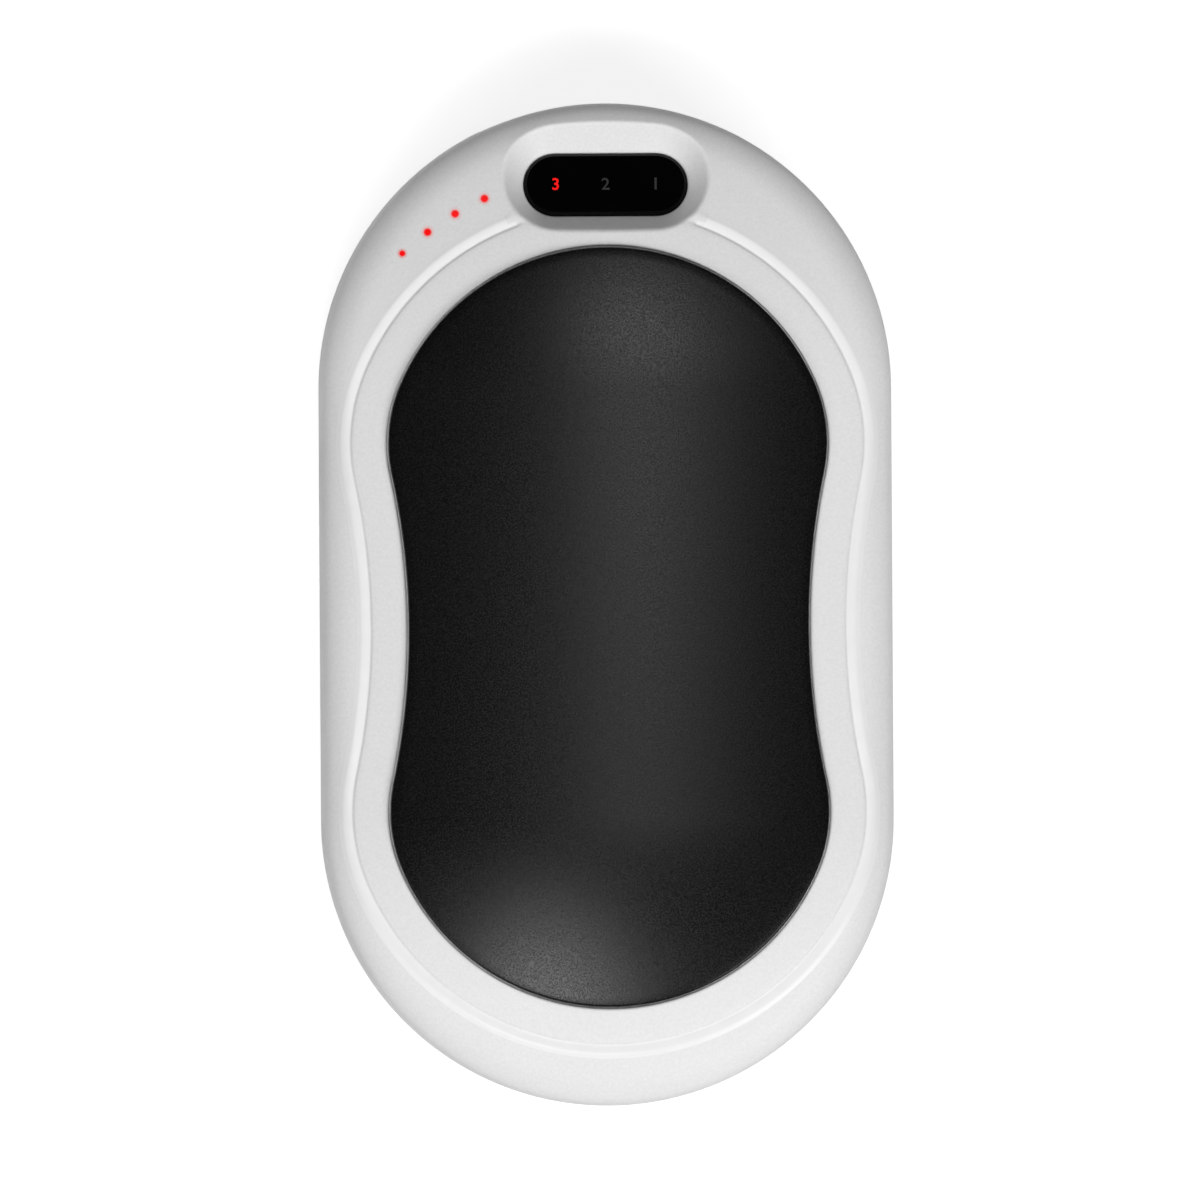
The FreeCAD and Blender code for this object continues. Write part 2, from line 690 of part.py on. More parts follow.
def thermistor_block(grown):
    """Sensor against the front film, or, grown, its room in the foam."""
    half_x = THERMISTOR.x / 2 + grown
    half_y = THERMISTOR.y / 2 + grown
    top = crown_height(half_x, 0, FILM_UNDER) - TOUCH_GAP
    return block(-half_x, half_x, -half_y, half_y, top - THERMISTOR.z - 2 * grown, top + 2 * grown)


def display_lens():
    """Bevelled window with a flange that holds it under the dish's floor."""
    under = -DISH_FLOOR - LENS_SEAT_GAP
    flange_r = LENS_R + LENS_FLANGE
    corners = [V(0, 0, under - LENS_FLANGE_THICK), V(flange_r, 0, under - LENS_FLANGE_THICK), V(flange_r, 0, under)]
    corners += [V(LENS_R, 0, under), V(LENS_R, 0, LENS_PROUD - LENS_BEVEL_DROP)]
    corners += [V(LENS_R - LENS_BEVEL, 0, LENS_PROUD), V(0, 0, LENS_PROUD)]
    return dish_place(stadium_solid(polygon(corners), LENS_HALF))


def display_light_box():
    """White baffle with one cell for each of the three signs, cut to the slope of the window."""
    half_x = LENS_HALF + LENS_R - LIGHT_BOX_INSET_X
    half_y = LENS_R - LIGHT_BOX_INSET_Y
    box = block(-half_x, half_x, LENS_Y - half_y, LENS_Y + half_y, BOARD_TOP, OVER)
    under = -DISH_FLOOR - LENS_SEAT_GAP - LENS_FLANGE_THICK - LIGHT_BOX_GAP
    above = dish_place(block(-OVER, OVER, -OVER, OVER, under, OVER))
    cells = []
    for x, y in display_points():
        cells.append(block(x - LIGHT_CELL_HALF_X, x + LIGHT_CELL_HALF_X, y - LIGHT_CELL_HALF_Y, y + LIGHT_CELL_HALF_Y,
                           0, OVER))
    return box.cut(above).cut(Part.Compound(cells))


def display_points():
    return [(i * LED_STEP, LENS_Y) for i in (-1, 0, 1)]


def leds(points):
    """Small light sources on the board, each a foot with its clear block."""
    half_x, half_y = LED_SIZE.x / 2, LED_SIZE.y / 2
    foot_top = BOARD_TOP + LED_FOOT
    sources = []
    for x, y in points:
        foot = block(x - half_x, x + half_x, y - half_y, y + half_y, BOARD_TOP, foot_top)
        light = block(x - LED_LIGHT_HALF, x + LED_LIGHT_HALF, y - half_y, y + half_y, foot_top, BOARD_TOP + LED_SIZE.z)
        sources.append(foot.fuse(light))
    return Part.Compound(sources)


def charge_light_guide():
    """Clear comb: an arc-shaped bar with a pin up to the surface at each dot."""
    centre_y = PLATE_Y + PLATE_LENGTH / 2 - PLATE_END_R
    start = DOT_FIRST - GUIDE_MARGIN
    sweep = DOT_STEP * (DOT_COUNT - 1) + 2 * GUIDE_MARGIN
    inner = DOT_ARC_R - GUIDE_HALF_WIDTH
    outer = DOT_ARC_R + GUIDE_HALF_WIDTH
    bar = polygon([V(inner, 0, GUIDE_Z0), V(outer, 0, GUIDE_Z0), V(outer, 0, GUIDE_Z1), V(inner, 0, GUIDE_Z1)])
    bar.rotate(V(), V(0, 0, 1), start)
    bar = bar.revolve(V(), V(0, 0, 1), sweep)
    bar.translate(V(0, centre_y, 0))
    pins = [cylinder(DOT_R, x, y, GUIDE_Z0 + PIN_ROOT, OVER) for x, y in dot_points()]
    pins = Part.Compound(pins).common(stadium_solid(section(0), HALF_STRAIGHT))
    return bar.fuse(pins.Solids)


def main_board():
    disc = cylinder(BOARD_R, 0, HALF_STRAIGHT, BOARD_Z, BOARD_TOP)
    board = disc.common(block(-BOARD_R, BOARD_R, BOARD_Y0, BOARD_Y1, 0, OVER))
    board = board.cut(swing(block(BOARD_NOTCH_X, END_R, -BOARD_NOTCH_HALF, BOARD_NOTCH_HALF, 0, OVER)))
    return board.cut(Part.Compound([cylinder(BOARD_HOLE_R, x, y, 0, OVER) for x, y in BOARD_POSTS]))


def socket_shell(x, size):
    """Folded sheet-metal shell, open at the mouth."""
    outside = socket_block(x, size)
    lengthwise = [e for e in outside.Edges if abs(e.tangentAt(0).y) > 0.9]
    outside = soften(outside, lengthwise, SOCKET_FOLD_R)
    half = size.x / 2 - SOCKET_SHEET
    back = SOCKET_FACE_Y - size.y + SOCKET_BACK
    hollow = block(x - half, x + half, back, LENGTH, BOARD_Z - size.z + SOCKET_SHEET, BOARD_Z - SOCKET_SHEET)
    return outside.cut(hollow)


def socket_foot(x, size, length):
    """Moulded block that fills the back of a socket."""
    gap = SOCKET_SHEET + SOCKET_FOOT_GAP
    half = size.x / 2 - gap
    back = SOCKET_FACE_Y - size.y + SOCKET_BACK
    return block(x - half, x + half, back, back + length, BOARD_Z - size.z + gap, BOARD_Z - gap)


def socket_tongue(foot, x, half, inset, heights):
    """Contact tongue that stands out of its foot towards the mouth of the socket."""
    tongue = block(x - half, x + half, foot.BoundBox.YMin, SOCKET_FACE_Y - inset, *heights)
    return foot.fuse(tongue).removeSplitter()


def outlet_tongue():
    foot = socket_foot(OUTLET_X, OUTLET_SIZE, OUTLET_FOOT)
    return socket_tongue(foot, OUTLET_X, OUTLET_TONGUE_HALF, OUTLET_TONGUE_IN, OUTLET_TONGUE_Z)


def inlet_tongue():
    foot = socket_foot(INLET_X, INLET_SIZE, INLET_FOOT)
    return socket_tongue(foot, INLET_X, INLET_TONGUE_HALF, INLET_TONGUE_IN, INLET_TONGUE_Z)


def power_button():
    """Keycap whose face follows the side wall, with a flange that keeps it in and a stem to the switch."""
    x0, x1 = BUTTON_FLANGE_X
    side = stadium_solid(section(0), HALF_STRAIGHT)
    side = side.fuse(rear(side))
    cap_body = swing(button_prism(0, x0, END_R + PAST)).common(side)
    flange = button_prism(BUTTON_FLANGE, x0, END_R).common(cylinder(x1, 0, 0, -OVER, OVER))
    stem = rod(BUTTON_STEM_R, PLUNGER_TIP_X, x0 + BUTTON_STEM_ROOT)
    return cap_body.fuse([swing(flange), swing(stem)]).removeSplitter()


def switch_body():
    """Housing of the tact switch, under the edge of the board."""
    x0, x1 = SWITCH_X
    body = block(x0, x1, -SWITCH_HALF, SWITCH_HALF, SWITCH_FOOT_Z, BOARD_Z)
    cavity = rod(SWITCH_CAVITY_R, *SWITCH_CAVITY_X)
    hole = rod(SWITCH_HOLE_R, SWITCH_CAVITY_X[0], x1 + PAST)
    return swing(body.cut(cavity).cut(hole))


def switch_plunger():
    base = rod(PLUNGER_BASE_R, *PLUNGER_BASE_X)
    return swing(base.fuse(rod(PLUNGER_R, PLUNGER_BASE_X[0], PLUNGER_TIP_X)).removeSplitter())


def switch_dome():
    """Thin sprung cap behind the plunger, which it pushes back."""
    ball_r = (DOME_EDGE_R ** 2 + DOME_RISE ** 2) / (2 * DOME_RISE)
    apex_x = PLUNGER_BASE_X[0] - TOUCH_GAP
    centre = V(apex_x - ball_r, 0, 0)
    shell = Part.makeSphere(ball_r, centre).cut(Part.makeSphere(ball_r - DOME_SHEET, centre))
    return swing(shell.common(block(apex_x - DOME_RISE, OVER * 2, -OVER, OVER, -OVER, OVER)))


def cell(side):
    """One 18650 cell in its sleeve, with a crimp groove and a raised positive cap towards the board."""
    along = V(0, 1, 0)
    body = Part.makeCylinder(CELL_R, CELL_LENGTH - CELL_CAP_RISE, V(0, CELL_Y0, 0), along)
    rims = [e for e in body.Edges if abs(e.Length - 2 * math.pi * CELL_R) < 0.01]
    body = soften(body, rims, CELL_EDGE_R)
    crimp = Part.makeTorus(CELL_R + CELL_GROOVE_OUT, CELL_GROOVE_R, V(0, CELL_Y1 - CELL_GROOVE_IN, 0), along)
    cap_height = CELL_CAP_RISE + CELL_CAP_ROOT
    nub = Part.makeCylinder(CELL_CAP_R, cap_height, V(0, CELL_Y1 - cap_height, 0), along)
    whole = body.cut(crimp).fuse(nub)
    whole.translate(V(side * CELL_X, 0, 0))
    return whole


def positive_strip():
    """Nickel strip across both caps, with a tab bent over onto the board."""
    y0 = CELL_Y1 + STRIP_GAP
    y1 = y0 + STRIP_SHEET
    plate = block(-STRIP_HALF, STRIP_HALF, y0, y1, -STRIP_HALF_Z, STRIP_HALF_Z)
    riser = block(*TAB_X, y0, y1, STRIP_HALF_Z, BOARD_TOP + STRIP_SHEET)
    tab = block(*TAB_X, y0, TAB_END_Y, BOARD_TOP, BOARD_TOP + STRIP_SHEET)
    return plate.fuse([riser, tab]).removeSplitter()


def negative_strip():
    """Nickel strip across the far ends of the cells, with a tab for the lead."""
    y1 = CELL_Y0 - STRIP_GAP
    y0 = y1 - STRIP_SHEET
    plate = block(-STRIP_HALF, STRIP_HALF, y0, y1, -STRIP_HALF_Z, STRIP_HALF_Z)
    tab = block(-NEGATIVE_TAB_HALF, NEGATIVE_TAB_HALF, y0, y1, STRIP_HALF_Z, NEGATIVE_TAB_Z)
    return plate.fuse(tab).removeSplitter()


def cell_cradle():
    """Moulded tray: two half-round troughs, end walls, side rails and four ears on the rear shell's posts."""
    y0 = CELL_Y0 - CRADLE_END_CLEAR
    y1 = CELL_Y1 + CRADLE_END_CLEAR
    hollow_r = CELL_R + CRADLE_GAP
    trough_r = hollow_r + CRADLE_WALL
    solids = []
    hollows = []
    for side in (1, -1):
        x = side * CELL_X
        solids.append(Part.makeCylinder(trough_r, y1 - y0, V(x, y0, 0), V(0, 1, 0)))
        hollows.append(Part.makeCylinder(hollow_r, y1 - y0, V(x, y0, 0), V(0, 1, 0)))
        inner_x, outer_x = RAIL_X
        rail = block(inner_x, outer_x, y0, y1, -RAIL_THICK, 0)
        ears = [block(inner_x, EAR_X + EAR_REACH, y - EAR_HALF, y + EAR_HALF, -RAIL_THICK, 0) for y in EAR_YS]
        rail = rail.fuse(ears)
        solids.append(rail if side > 0 else rail.mirror(V(), V(1, 0, 0)))
    ends = []
    for y_end in (y0 - CRADLE_END_WALL, y1):
        ends.append(block(-CRADLE_END_HALF, CRADLE_END_HALF, y_end, y_end + CRADLE_END_WALL, *CRADLE_END_Z))
    lower = block(-END_R, END_R, -LENGTH, LENGTH, -OVER, 0)
    tray = solids[0].fuse(solids[1:]).common(lower)
    half = STRIP_HALF + CRADLE_END_CLEAR
    strip_room = [block(-half, half, y0, CELL_Y0, -STRIP_HALF_Z - CRADLE_END_CLEAR, 0)]
    strip_room.append(block(-half, half, CELL_Y1, y1, -STRIP_HALF_Z - CRADLE_END_CLEAR, 0))
    for hollow in hollows + strip_room:
        tray = tray.cut(hollow)
    tray = tray.fuse(ends)
    openings = [cylinder(BOSS_CLEAR, x, y, -OVER, OVER) for x, y in screw_points()]
    openings += [cylinder(EAR_HOLE_R, side * EAR_X, y, -OVER, OVER) for side in (1, -1) for y in EAR_YS]
    openings.append(block(TAB_X[0] - TAB_ROOM, TAB_X[1] + TAB_ROOM, y1 - PAST, y1 + CRADLE_END_WALL + PAST, TAB_ROOM_Z,
                          OVER))
    tray = tray.cut(Part.Compound(openings))
    room = shell_inside(WALL + CRADLE_SHELL_GAP)
    return tray.common(room.fuse(rear(room))).removeSplitter()


def lead(points, radius):
    """Round lead along straight runs joined by tangent arcs, each as large as its two runs allow."""
    edges = []
    at = points[0]
    for before, corner, after in zip(points, points[1:], points[2:]):
        back = (before - corner).normalize()
        ahead = (after - corner).normalize()
        reach = LEAD_BEND * min((before - corner).Length, (after - corner).Length)
        half_turn = (math.pi - back.getAngle(ahead)) / 2
        bend_r = reach / math.tan(half_turn)
        inward = (back + ahead).normalize()
        middle = corner + inward * (bend_r / math.cos(half_turn) - bend_r)
        start, end = corner + back * reach, corner + ahead * reach
        edges += [line(at, start), Part.Arc(start, middle, end).toShape()]
        at = end
    edges.append(line(at, points[-1]))
    path = Part.Wire(edges)
    circle = Part.Wire(Part.makeCircle(radius, points[0], points[1] - points[0]))
    return path.makePipeShell([circle], True, False)


def negative_lead():
    """Lead from the far strip, along the valley between the cells and down onto the board."""
    valley_end, landing, end = NEGATIVE_LEAD_YS
    top = BOARD_TOP + NEGATIVE_LEAD_R + TOUCH_GAP
    valley = [V(0, CELL_Y0, NEGATIVE_LEAD_Z), V(0, valley_end, NEGATIVE_LEAD_Z)]
    return lead(valley + [V(0, landing, top), V(0, end, top)], NEGATIVE_LEAD_R)


def heater_leads(xs, bends, board_z, side):
    """Pair of leads from a film to the board, on the front side or the rear one."""
    (film_y, film_bend_z), (board_y, board_bend_z) = bends
    pair = []
    for x in xs:
        film_z = side * (crown_height(x + LEAD_R, film_y + LEAD_R, FILM_UNDER) - TOUCH_GAP)
        at_film = [V(x, film_y, film_z), V(x, film_y, film_bend_z)]
        pair.append(lead(at_film + [V(x, board_y, board_bend_z), V(x, board_y, board_z)], LEAD_R))
    return Part.Compound(pair)


def on_board(corner, size, lift=0.0):
    """Block on top of the board."""
    base = BOARD_TOP + lift
    return block(corner.x, corner.x + size.x, corner.y, corner.y + size.y, base, base + size.z)


def controller_chip():
    """Moulded package with its pins along both sides."""
    body = on_board(CHIP_AT, CHIP_SIZE, CHIP_LIFT)
    across = V(CHIP_PIN_SIZE.x, CHIP_SIZE.y + 2 * CHIP_PIN_SIZE.y, CHIP_PIN_SIZE.z)
    first = CHIP_AT + V(CHIP_PIN_FIRST, -CHIP_PIN_SIZE.y, 0)
    pins = [on_board(first + V(i * CHIP_PIN_STEP, 0, 0), across) for i in range(CHIP_PINS)]
    return body.fuse(pins)


def power_inductor():
    """Shielded coil under the board."""
    at, size = INDUCTOR_AT, INDUCTOR_SIZE
    core = block(at.x, at.x + size.x, at.y, at.y + size.y, BOARD_Z - size.z, BOARD_Z)
    upright = [e for e in core.Edges if abs(e.tangentAt(0).z) > 0.9]
    return soften(core, upright, INDUCTOR_EDGE_R)


def board_capacitors():
    return Part.Compound([on_board(at, CAPACITOR_SIZE) for at in CAPACITORS_AT])


def all_parts():
    front_foam = insulator()
    return {
        "front_housing": front_housing(),
        "rear_housing": rear_housing(),
        "front_heat_plate": heat_plate(),
        "rear_heat_plate": rear_heat_plate(),
        "front_plate_gasket": plate_gasket(),
        "rear_plate_gasket": rear(plate_gasket()),
        "front_heater_film": heater_film(),
        "rear_heater_film": rear(heater_film()),
        "front_insulator": front_foam.cut(thermistor_block(THERMISTOR_ROOM)),
        "rear_insulator": rear(front_foam),
        "thermistor": thermistor_block(0),
        "display_lens": display_lens(),
        "display_light_box": display_light_box(),
        "display_leds": leds(display_points()),
        "charge_light_guide": charge_light_guide(),
        "charge_leds": leds(dot_points()),
        "main_board": main_board(),
        "controller_chip": controller_chip(),
        "power_inductor": power_inductor(),
        "board_capacitors": board_capacitors(),
        "usb_output_shell": socket_shell(OUTLET_X, OUTLET_SIZE),
        "usb_output_tongue": outlet_tongue(),
        "charge_inlet_shell": socket_shell(INLET_X, INLET_SIZE),
        "charge_inlet_tongue": inlet_tongue(),
        "power_button": power_button(),
        "switch_body": switch_body(),
        "switch_plunger": switch_plunger(),
        "switch_dome": switch_dome(),
        "left_cell": cell(-1),
        "right_cell": cell(1),
        "positive_strip": positive_strip(),
        "negative_strip": negative_strip(),
        "negative_lead": negative_lead(),
        "cell_cradle": cell_cradle(),
        "front_heater_leads": heater_leads(FRONT_LEAD_XS, FRONT_LEAD_BENDS, BOARD_TOP, 1),
        "rear_heater_leads": heater_leads(REAR_LEAD_XS, REAR_LEAD_BENDS, BOARD_Z, -1),
        "housing_screws": housing_screws(),
        "board_screws": board_screws(),
    }


os.makedirs("parts", exist_ok=True)
for name, shape in all_parts().items():
    solids = Part.Compound(shape.Solids) if len(shape.Solids) > 1 else shape.Solids[0]
    solids.translate(V(0, 0, LIFT))
    print(name, "solids", len(shape.Solids), "valid", solids.isValid(), "volume", round(solids.Volume, 2))
    solids.exportStep("parts/" + name + ".step")
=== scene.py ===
import math

import bmesh
import bpy
import numpy as np
from mathutils import Matrix, Vector


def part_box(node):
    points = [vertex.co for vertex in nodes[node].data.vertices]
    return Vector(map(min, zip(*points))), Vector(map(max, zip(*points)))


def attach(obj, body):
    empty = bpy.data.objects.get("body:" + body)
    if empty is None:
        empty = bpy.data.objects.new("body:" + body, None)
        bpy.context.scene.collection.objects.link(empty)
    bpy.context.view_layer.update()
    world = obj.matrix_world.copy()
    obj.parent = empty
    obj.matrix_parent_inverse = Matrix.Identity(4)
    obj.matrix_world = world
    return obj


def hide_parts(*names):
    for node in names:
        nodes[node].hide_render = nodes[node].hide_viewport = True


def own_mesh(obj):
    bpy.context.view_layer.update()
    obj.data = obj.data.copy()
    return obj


# A rechargeable hand warmer, dressed over its frame. Sizes are in millimetres until a mesh is made.
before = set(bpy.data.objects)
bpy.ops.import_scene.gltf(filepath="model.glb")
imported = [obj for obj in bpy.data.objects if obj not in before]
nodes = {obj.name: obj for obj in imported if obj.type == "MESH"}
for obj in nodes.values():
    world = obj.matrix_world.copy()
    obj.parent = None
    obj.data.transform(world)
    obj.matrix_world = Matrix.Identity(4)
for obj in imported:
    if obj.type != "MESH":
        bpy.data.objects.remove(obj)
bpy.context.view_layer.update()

# Rear housing
# The back half of the case: one moulding in fine-textured white ABS, a crowned stadium tub whose band and
# polished bead run round the seat of the rear heat plate; the bead's colour is painted lighter as a
# highlight. The front housing closes over the lip on its rim.


def corners(node):
    """Lowest and highest corner of a node in millimetres, to the tenth that it is drawn in."""
    return [np.round(np.array(corner) * 1000, 1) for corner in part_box(node)]


shell_low, shell_high = corners("front_housing")
plate_low, plate_high = corners("front_heat_plate")
PARTING = shell_low[2]
END_R = shell_high[0]
HALF_STRAIGHT = -shell_low[1] - END_R
PLATE_TOP = 0.8
CROWN_Z = plate_high[2] - PARTING - PLATE_TOP
EDGE_TILT = 12.5
SHOULDER_R = 6.0
ROUND_SPLIT = 40.0
SIDE_R = 2.6
DRAFT = 1.5
SIDE_LEAN = 90.0 - DRAFT
WALL = 2.0
SEAM = 0.2


def lean(angle):
    """Unit step out and up, square to a surface that leans by this angle from level, in degrees."""
    turn = np.radians(angle)
    return np.stack([np.sin(turn), np.cos(turn)], -1)


draft_slope = math.tan(math.radians(DRAFT))
crown_slope = math.tan(math.radians(EDGE_TILT / 2))
round_step = (SHOULDER_R * (lean(ROUND_SPLIT) - lean(EDGE_TILT))
              + SIDE_R * (lean(SIDE_LEAN) - lean(ROUND_SPLIT)))
crown_room = END_R - round_step[0] - (CROWN_Z + round_step[1]) * draft_slope
CROWN_REACH = crown_room / (1 - crown_slope * draft_slope)
CROWN_R = CROWN_REACH / lean(EDGE_TILT)[0]
crown_centre = np.array([0.0, CROWN_Z - CROWN_R])
shoulder_centre = crown_centre + lean(EDGE_TILT) * (CROWN_R - SHOULDER_R)
side_centre = shoulder_centre + lean(ROUND_SPLIT) * (SHOULDER_R - SIDE_R)


def arc_height(centre, radius, reach):
    """Height of the upper half of a circle of the section over a reach."""
    return centre[1] + np.sqrt(np.maximum(radius ** 2 - (reach - centre[0]) ** 2, 0))


def reach_of(plan):
    """Distance of plan points from the case's spine, the straight line between the centres of its ends."""
    return np.hypot(plan[..., 0], np.maximum(np.abs(plan[..., 1]) - HALF_STRAIGHT, 0))


def crown_height(plan):
    """Height of the crown over plan points, carried straight on past the shoulder."""
    return arc_height(crown_centre, CROWN_R, reach_of(plan))


def shell_height(plan, inset=0.0):
    """Height of a shell, set in by an inset: the crown's arc, then the shoulder's, then the side's."""
    reach = reach_of(plan)
    crown = arc_height(crown_centre, CROWN_R - inset, reach)
    shoulder = arc_height(shoulder_centre, SHOULDER_R - inset, reach)
    side = arc_height(side_centre, SIDE_R - inset, reach)
    crown_ends = (crown_centre + lean(EDGE_TILT) * (CROWN_R - inset))[0]
    shoulder_ends = (shoulder_centre + lean(ROUND_SPLIT) * (SHOULDER_R - inset))[0]
    return np.select([reach <= crown_ends, reach <= shoulder_ends], [crown, shoulder], side)


PLATE_Y = (plate_low[1] + plate_high[1]) / 2
PLATE_HALF = (plate_high[1] - plate_low[1]) / 2
PLATE_WAIST = 43.8
PLATE_END_R = 24.7
PLATE_CORNER_R = 16.3
PLATE_WAIST_R = 80.7


def plate_outline(step):
    """Points and outward normals round the plate's hourglass, about one step apart.

    A quarter is three tangent arcs, of the end, the corner and the waist. Each is walked by the direction of
    its normal, from the middle of the end to the waist, and the other quarters are that walk mirrored.
    """
    end = np.array([0.0, PLATE_HALF - PLATE_END_R])
    waist = np.array([PLATE_WAIST / 2 + PLATE_WAIST_R, 0.0])
    to_corner = PLATE_END_R - PLATE_CORNER_R
    span = waist - end
    length = np.hypot(*span)
    along = (to_corner ** 2 - (PLATE_WAIST_R + PLATE_CORNER_R) ** 2 + length ** 2) / (2 * length)
    across = math.sqrt(to_corner ** 2 - along ** 2)
    corner = end + (span * along + np.array([-span[1], span[0]]) * across) / length
    end_turn = np.arctan2(*(corner - end)[::-1])
    waist_turn = np.arctan2(*(waist - corner)[::-1])
    arcs = [(end, PLATE_END_R, math.pi / 2, end_turn), (corner, PLATE_CORNER_R, end_turn, waist_turn),
            (waist, -PLATE_WAIST_R, waist_turn, 0.0)]
    points = []
    normals = []
    for centre, radius, first, last in arcs:
        turns = np.linspace(first, last, 1 + math.ceil(abs(radius * (last - first)) / step))[:-1]
        normal = np.stack([np.cos(turns), np.sin(turns)], -1)
        points.append(centre + radius * normal)
        normals.append(normal)
    quarters = [np.concatenate(points + [[[PLATE_WAIST / 2, 0.0]]]), np.concatenate(normals + [[[1.0, 0.0]]])]
    down = np.array([1.0, -1.0])
    left = np.array([-1.0, 1.0])
    halves = [np.concatenate([q, q[-2::-1] * down]) for q in quarters]
    loops = [np.concatenate([h, h[-2:0:-1] * left]) for h in halves]
    return loops[0] + np.array([0.0, PLATE_Y]), loops[1]


CREST_OFFSET = 5.15
CREST_RISE = 0.06
BEAD_OUTER = 0.6
BEAD_SLOPE = 0.95
CREASE_RISE = -0.16
CREASE_WIDTH = 0.35
BAND_RISE = -0.02
BAND_EDGE_R = 0.35
PLATE_GAP = 0.15
LEDGE_TOP = -0.7
LEDGE_WIDTH = 2.5
OUTLINE_STEP = 0.8
BEAD_POINTS = 15
BEAD_POWER = 1.3
CREASE_POINTS = 5
BAND_POINTS = 6
BAND_EDGE_POINTS = 6
LEDGE_POINTS = 3


def quarter_turn(count):
    """Reach and drop of a unit quarter round, from its flat side to its upright side."""
    turn = np.linspace(0, math.pi / 2, count)
    return np.sin(turn), 1 - np.cos(turn)


def rim_profile():
    """Offsets from the plate's outline, and rises above the shell, from the bead's outer foot to the ledge.

    The bead swells up to its crest as half a cosine wave and falls to the crease as a power of the share of
    its inner slope. Half a cosine wave lifts the band out of the crease, and a quarter round softens its edge
    at the plate.
    """
    across = np.linspace(1, -1, BEAD_POINTS)
    fall = np.maximum(-across, 0) ** BEAD_POWER * (CREST_RISE - CREASE_RISE)
    swell = CREST_RISE * (1 + np.cos(math.pi * np.maximum(across, 0))) / 2
    bead = [CREST_OFFSET + np.where(across > 0, BEAD_OUTER, BEAD_SLOPE) * across, swell - fall]
    share = np.linspace(0, 1, CREASE_POINTS + 1)[1:]
    lift = (BAND_RISE - CREASE_RISE) * (1 - np.cos(math.pi * share)) / 2
    crease = [CREST_OFFSET - BEAD_SLOPE - CREASE_WIDTH * share, CREASE_RISE + lift]
    band_offsets = np.linspace(crease[0][-1], PLATE_GAP + BAND_EDGE_R, BAND_POINTS + 2)[1:-1]
    band = [band_offsets, np.full(BAND_POINTS, BAND_RISE)]
    run, drop = quarter_turn(BAND_EDGE_POINTS)
    edge = [PLATE_GAP + BAND_EDGE_R * (1 - run), BAND_RISE - BAND_EDGE_R * drop]
    ledge = [np.array([PLATE_GAP, 0.0, -LEDGE_WIDTH]), np.full(LEDGE_POINTS, LEDGE_TOP)]
    parts = [bead, crease, band, edge, ledge]
    return np.concatenate([p[0] for p in parts]), np.concatenate([p[1] for p in parts])


ROUND_OVER_ROWS = 9
SHOULDER_STOP = 38.0
SHOULDER_ROWS = 3
BETWEEN_ROWS = 14
BETWEEN_CROWDING = 1.5
INSIDE_ROWS = 14
INSIDE_ROUND_ROWS = 5
BAY_Y = 51.6
BAY_R = 4.0
BAY_SKIN = 1.8


def part_way(first, last, share):
    """Points a share of the way along straight lines from one row to another."""
    return first + (last - first) * share


def shell_rows(points, normals, joint):
    """Rows of points round one shell, over its parting plane, that close into a wall of even thickness.

    Rows on the side and the round-over follow the stadium. Rows on the bead, the band and the ledge follow
    the plate's outline. The rows between them, and those on the inside, are drawn straight from one to the
    other. Joint is the reach and height of each row of the rim at the parting plane.
    """
    offsets, rises = rim_profile()
    foot = points + offsets[0] * normals
    spine = np.stack([np.zeros(len(foot)), np.clip(foot[:, 1], -HALF_STRAIGHT, HALF_STRAIGHT)], -1)
    away = (foot - spine) / reach_of(foot)[:, None]

    def level(plan, height):
        return np.concatenate([plan, np.broadcast_to(height, len(plan))[:, None]], 1)

    def stadium(reach, height):
        return level(spine + reach * away, height)

    def round_over(inset, count):
        side = side_centre + (SIDE_R - inset) * lean(np.linspace(SIDE_LEAN, ROUND_SPLIT, count))
        return [stadium(*p) for p in side]

    side_top = side_centre + SIDE_R * lean(SIDE_LEAN)
    rows = [stadium(END_R - SEAM, 0.0), stadium(side_top[0] + (side_top[1] - SEAM) * draft_slope, SEAM)]
    rows += round_over(0.0, ROUND_OVER_ROWS)
    shoulder = shoulder_centre + SHOULDER_R * lean(np.linspace(ROUND_SPLIT, SHOULDER_STOP, SHOULDER_ROWS))
    rows += [stadium(*p) for p in shoulder[1:]]
    for share in np.linspace(0, 1, BETWEEN_ROWS)[1:] ** BETWEEN_CROWDING:
        plan = part_way(spine + shoulder[-1][0] * away, foot, share)
        rows.append(level(plan, shell_height(plan)))
    for offset, rise in zip(offsets[1:], rises[1:]):
        plan = points + offset * normals
        rows.append(level(plan, shell_height(plan) + rise))
    outer_count = len(rows) - LEDGE_POINTS
    inner_edge = points - LEDGE_WIDTH * normals
    inner_reach = (crown_centre + lean(EDGE_TILT) * (CROWN_R - WALL))[0]
    for share in np.linspace(0, 1, INSIDE_ROWS):
        plan = part_way(inner_edge, spine + inner_reach * away, share)
        rows.append(level(plan, shell_height(plan, WALL)))
    rows += round_over(WALL, INSIDE_ROUND_ROWS)[::-1]
    inner_wall = side_centre + (SIDE_R - WALL) * lean(SIDE_LEAN)
    inside_from = outer_count + LEDGE_POINTS
    rows += [stadium(inner_wall[0] + (inner_wall[1] - z) * draft_slope if reach is None else reach, z)
             for reach, z in joint]
    rows = np.stack(rows)
    inside = rows[inside_from:-2]
    tub = inside[..., 2] < BAY_R + BAY_SKIN
    inside[..., 1] = np.where(tub, np.minimum(inside[..., 1], BAY_Y - BAY_SKIN), inside[..., 1])
    return rows, outer_count


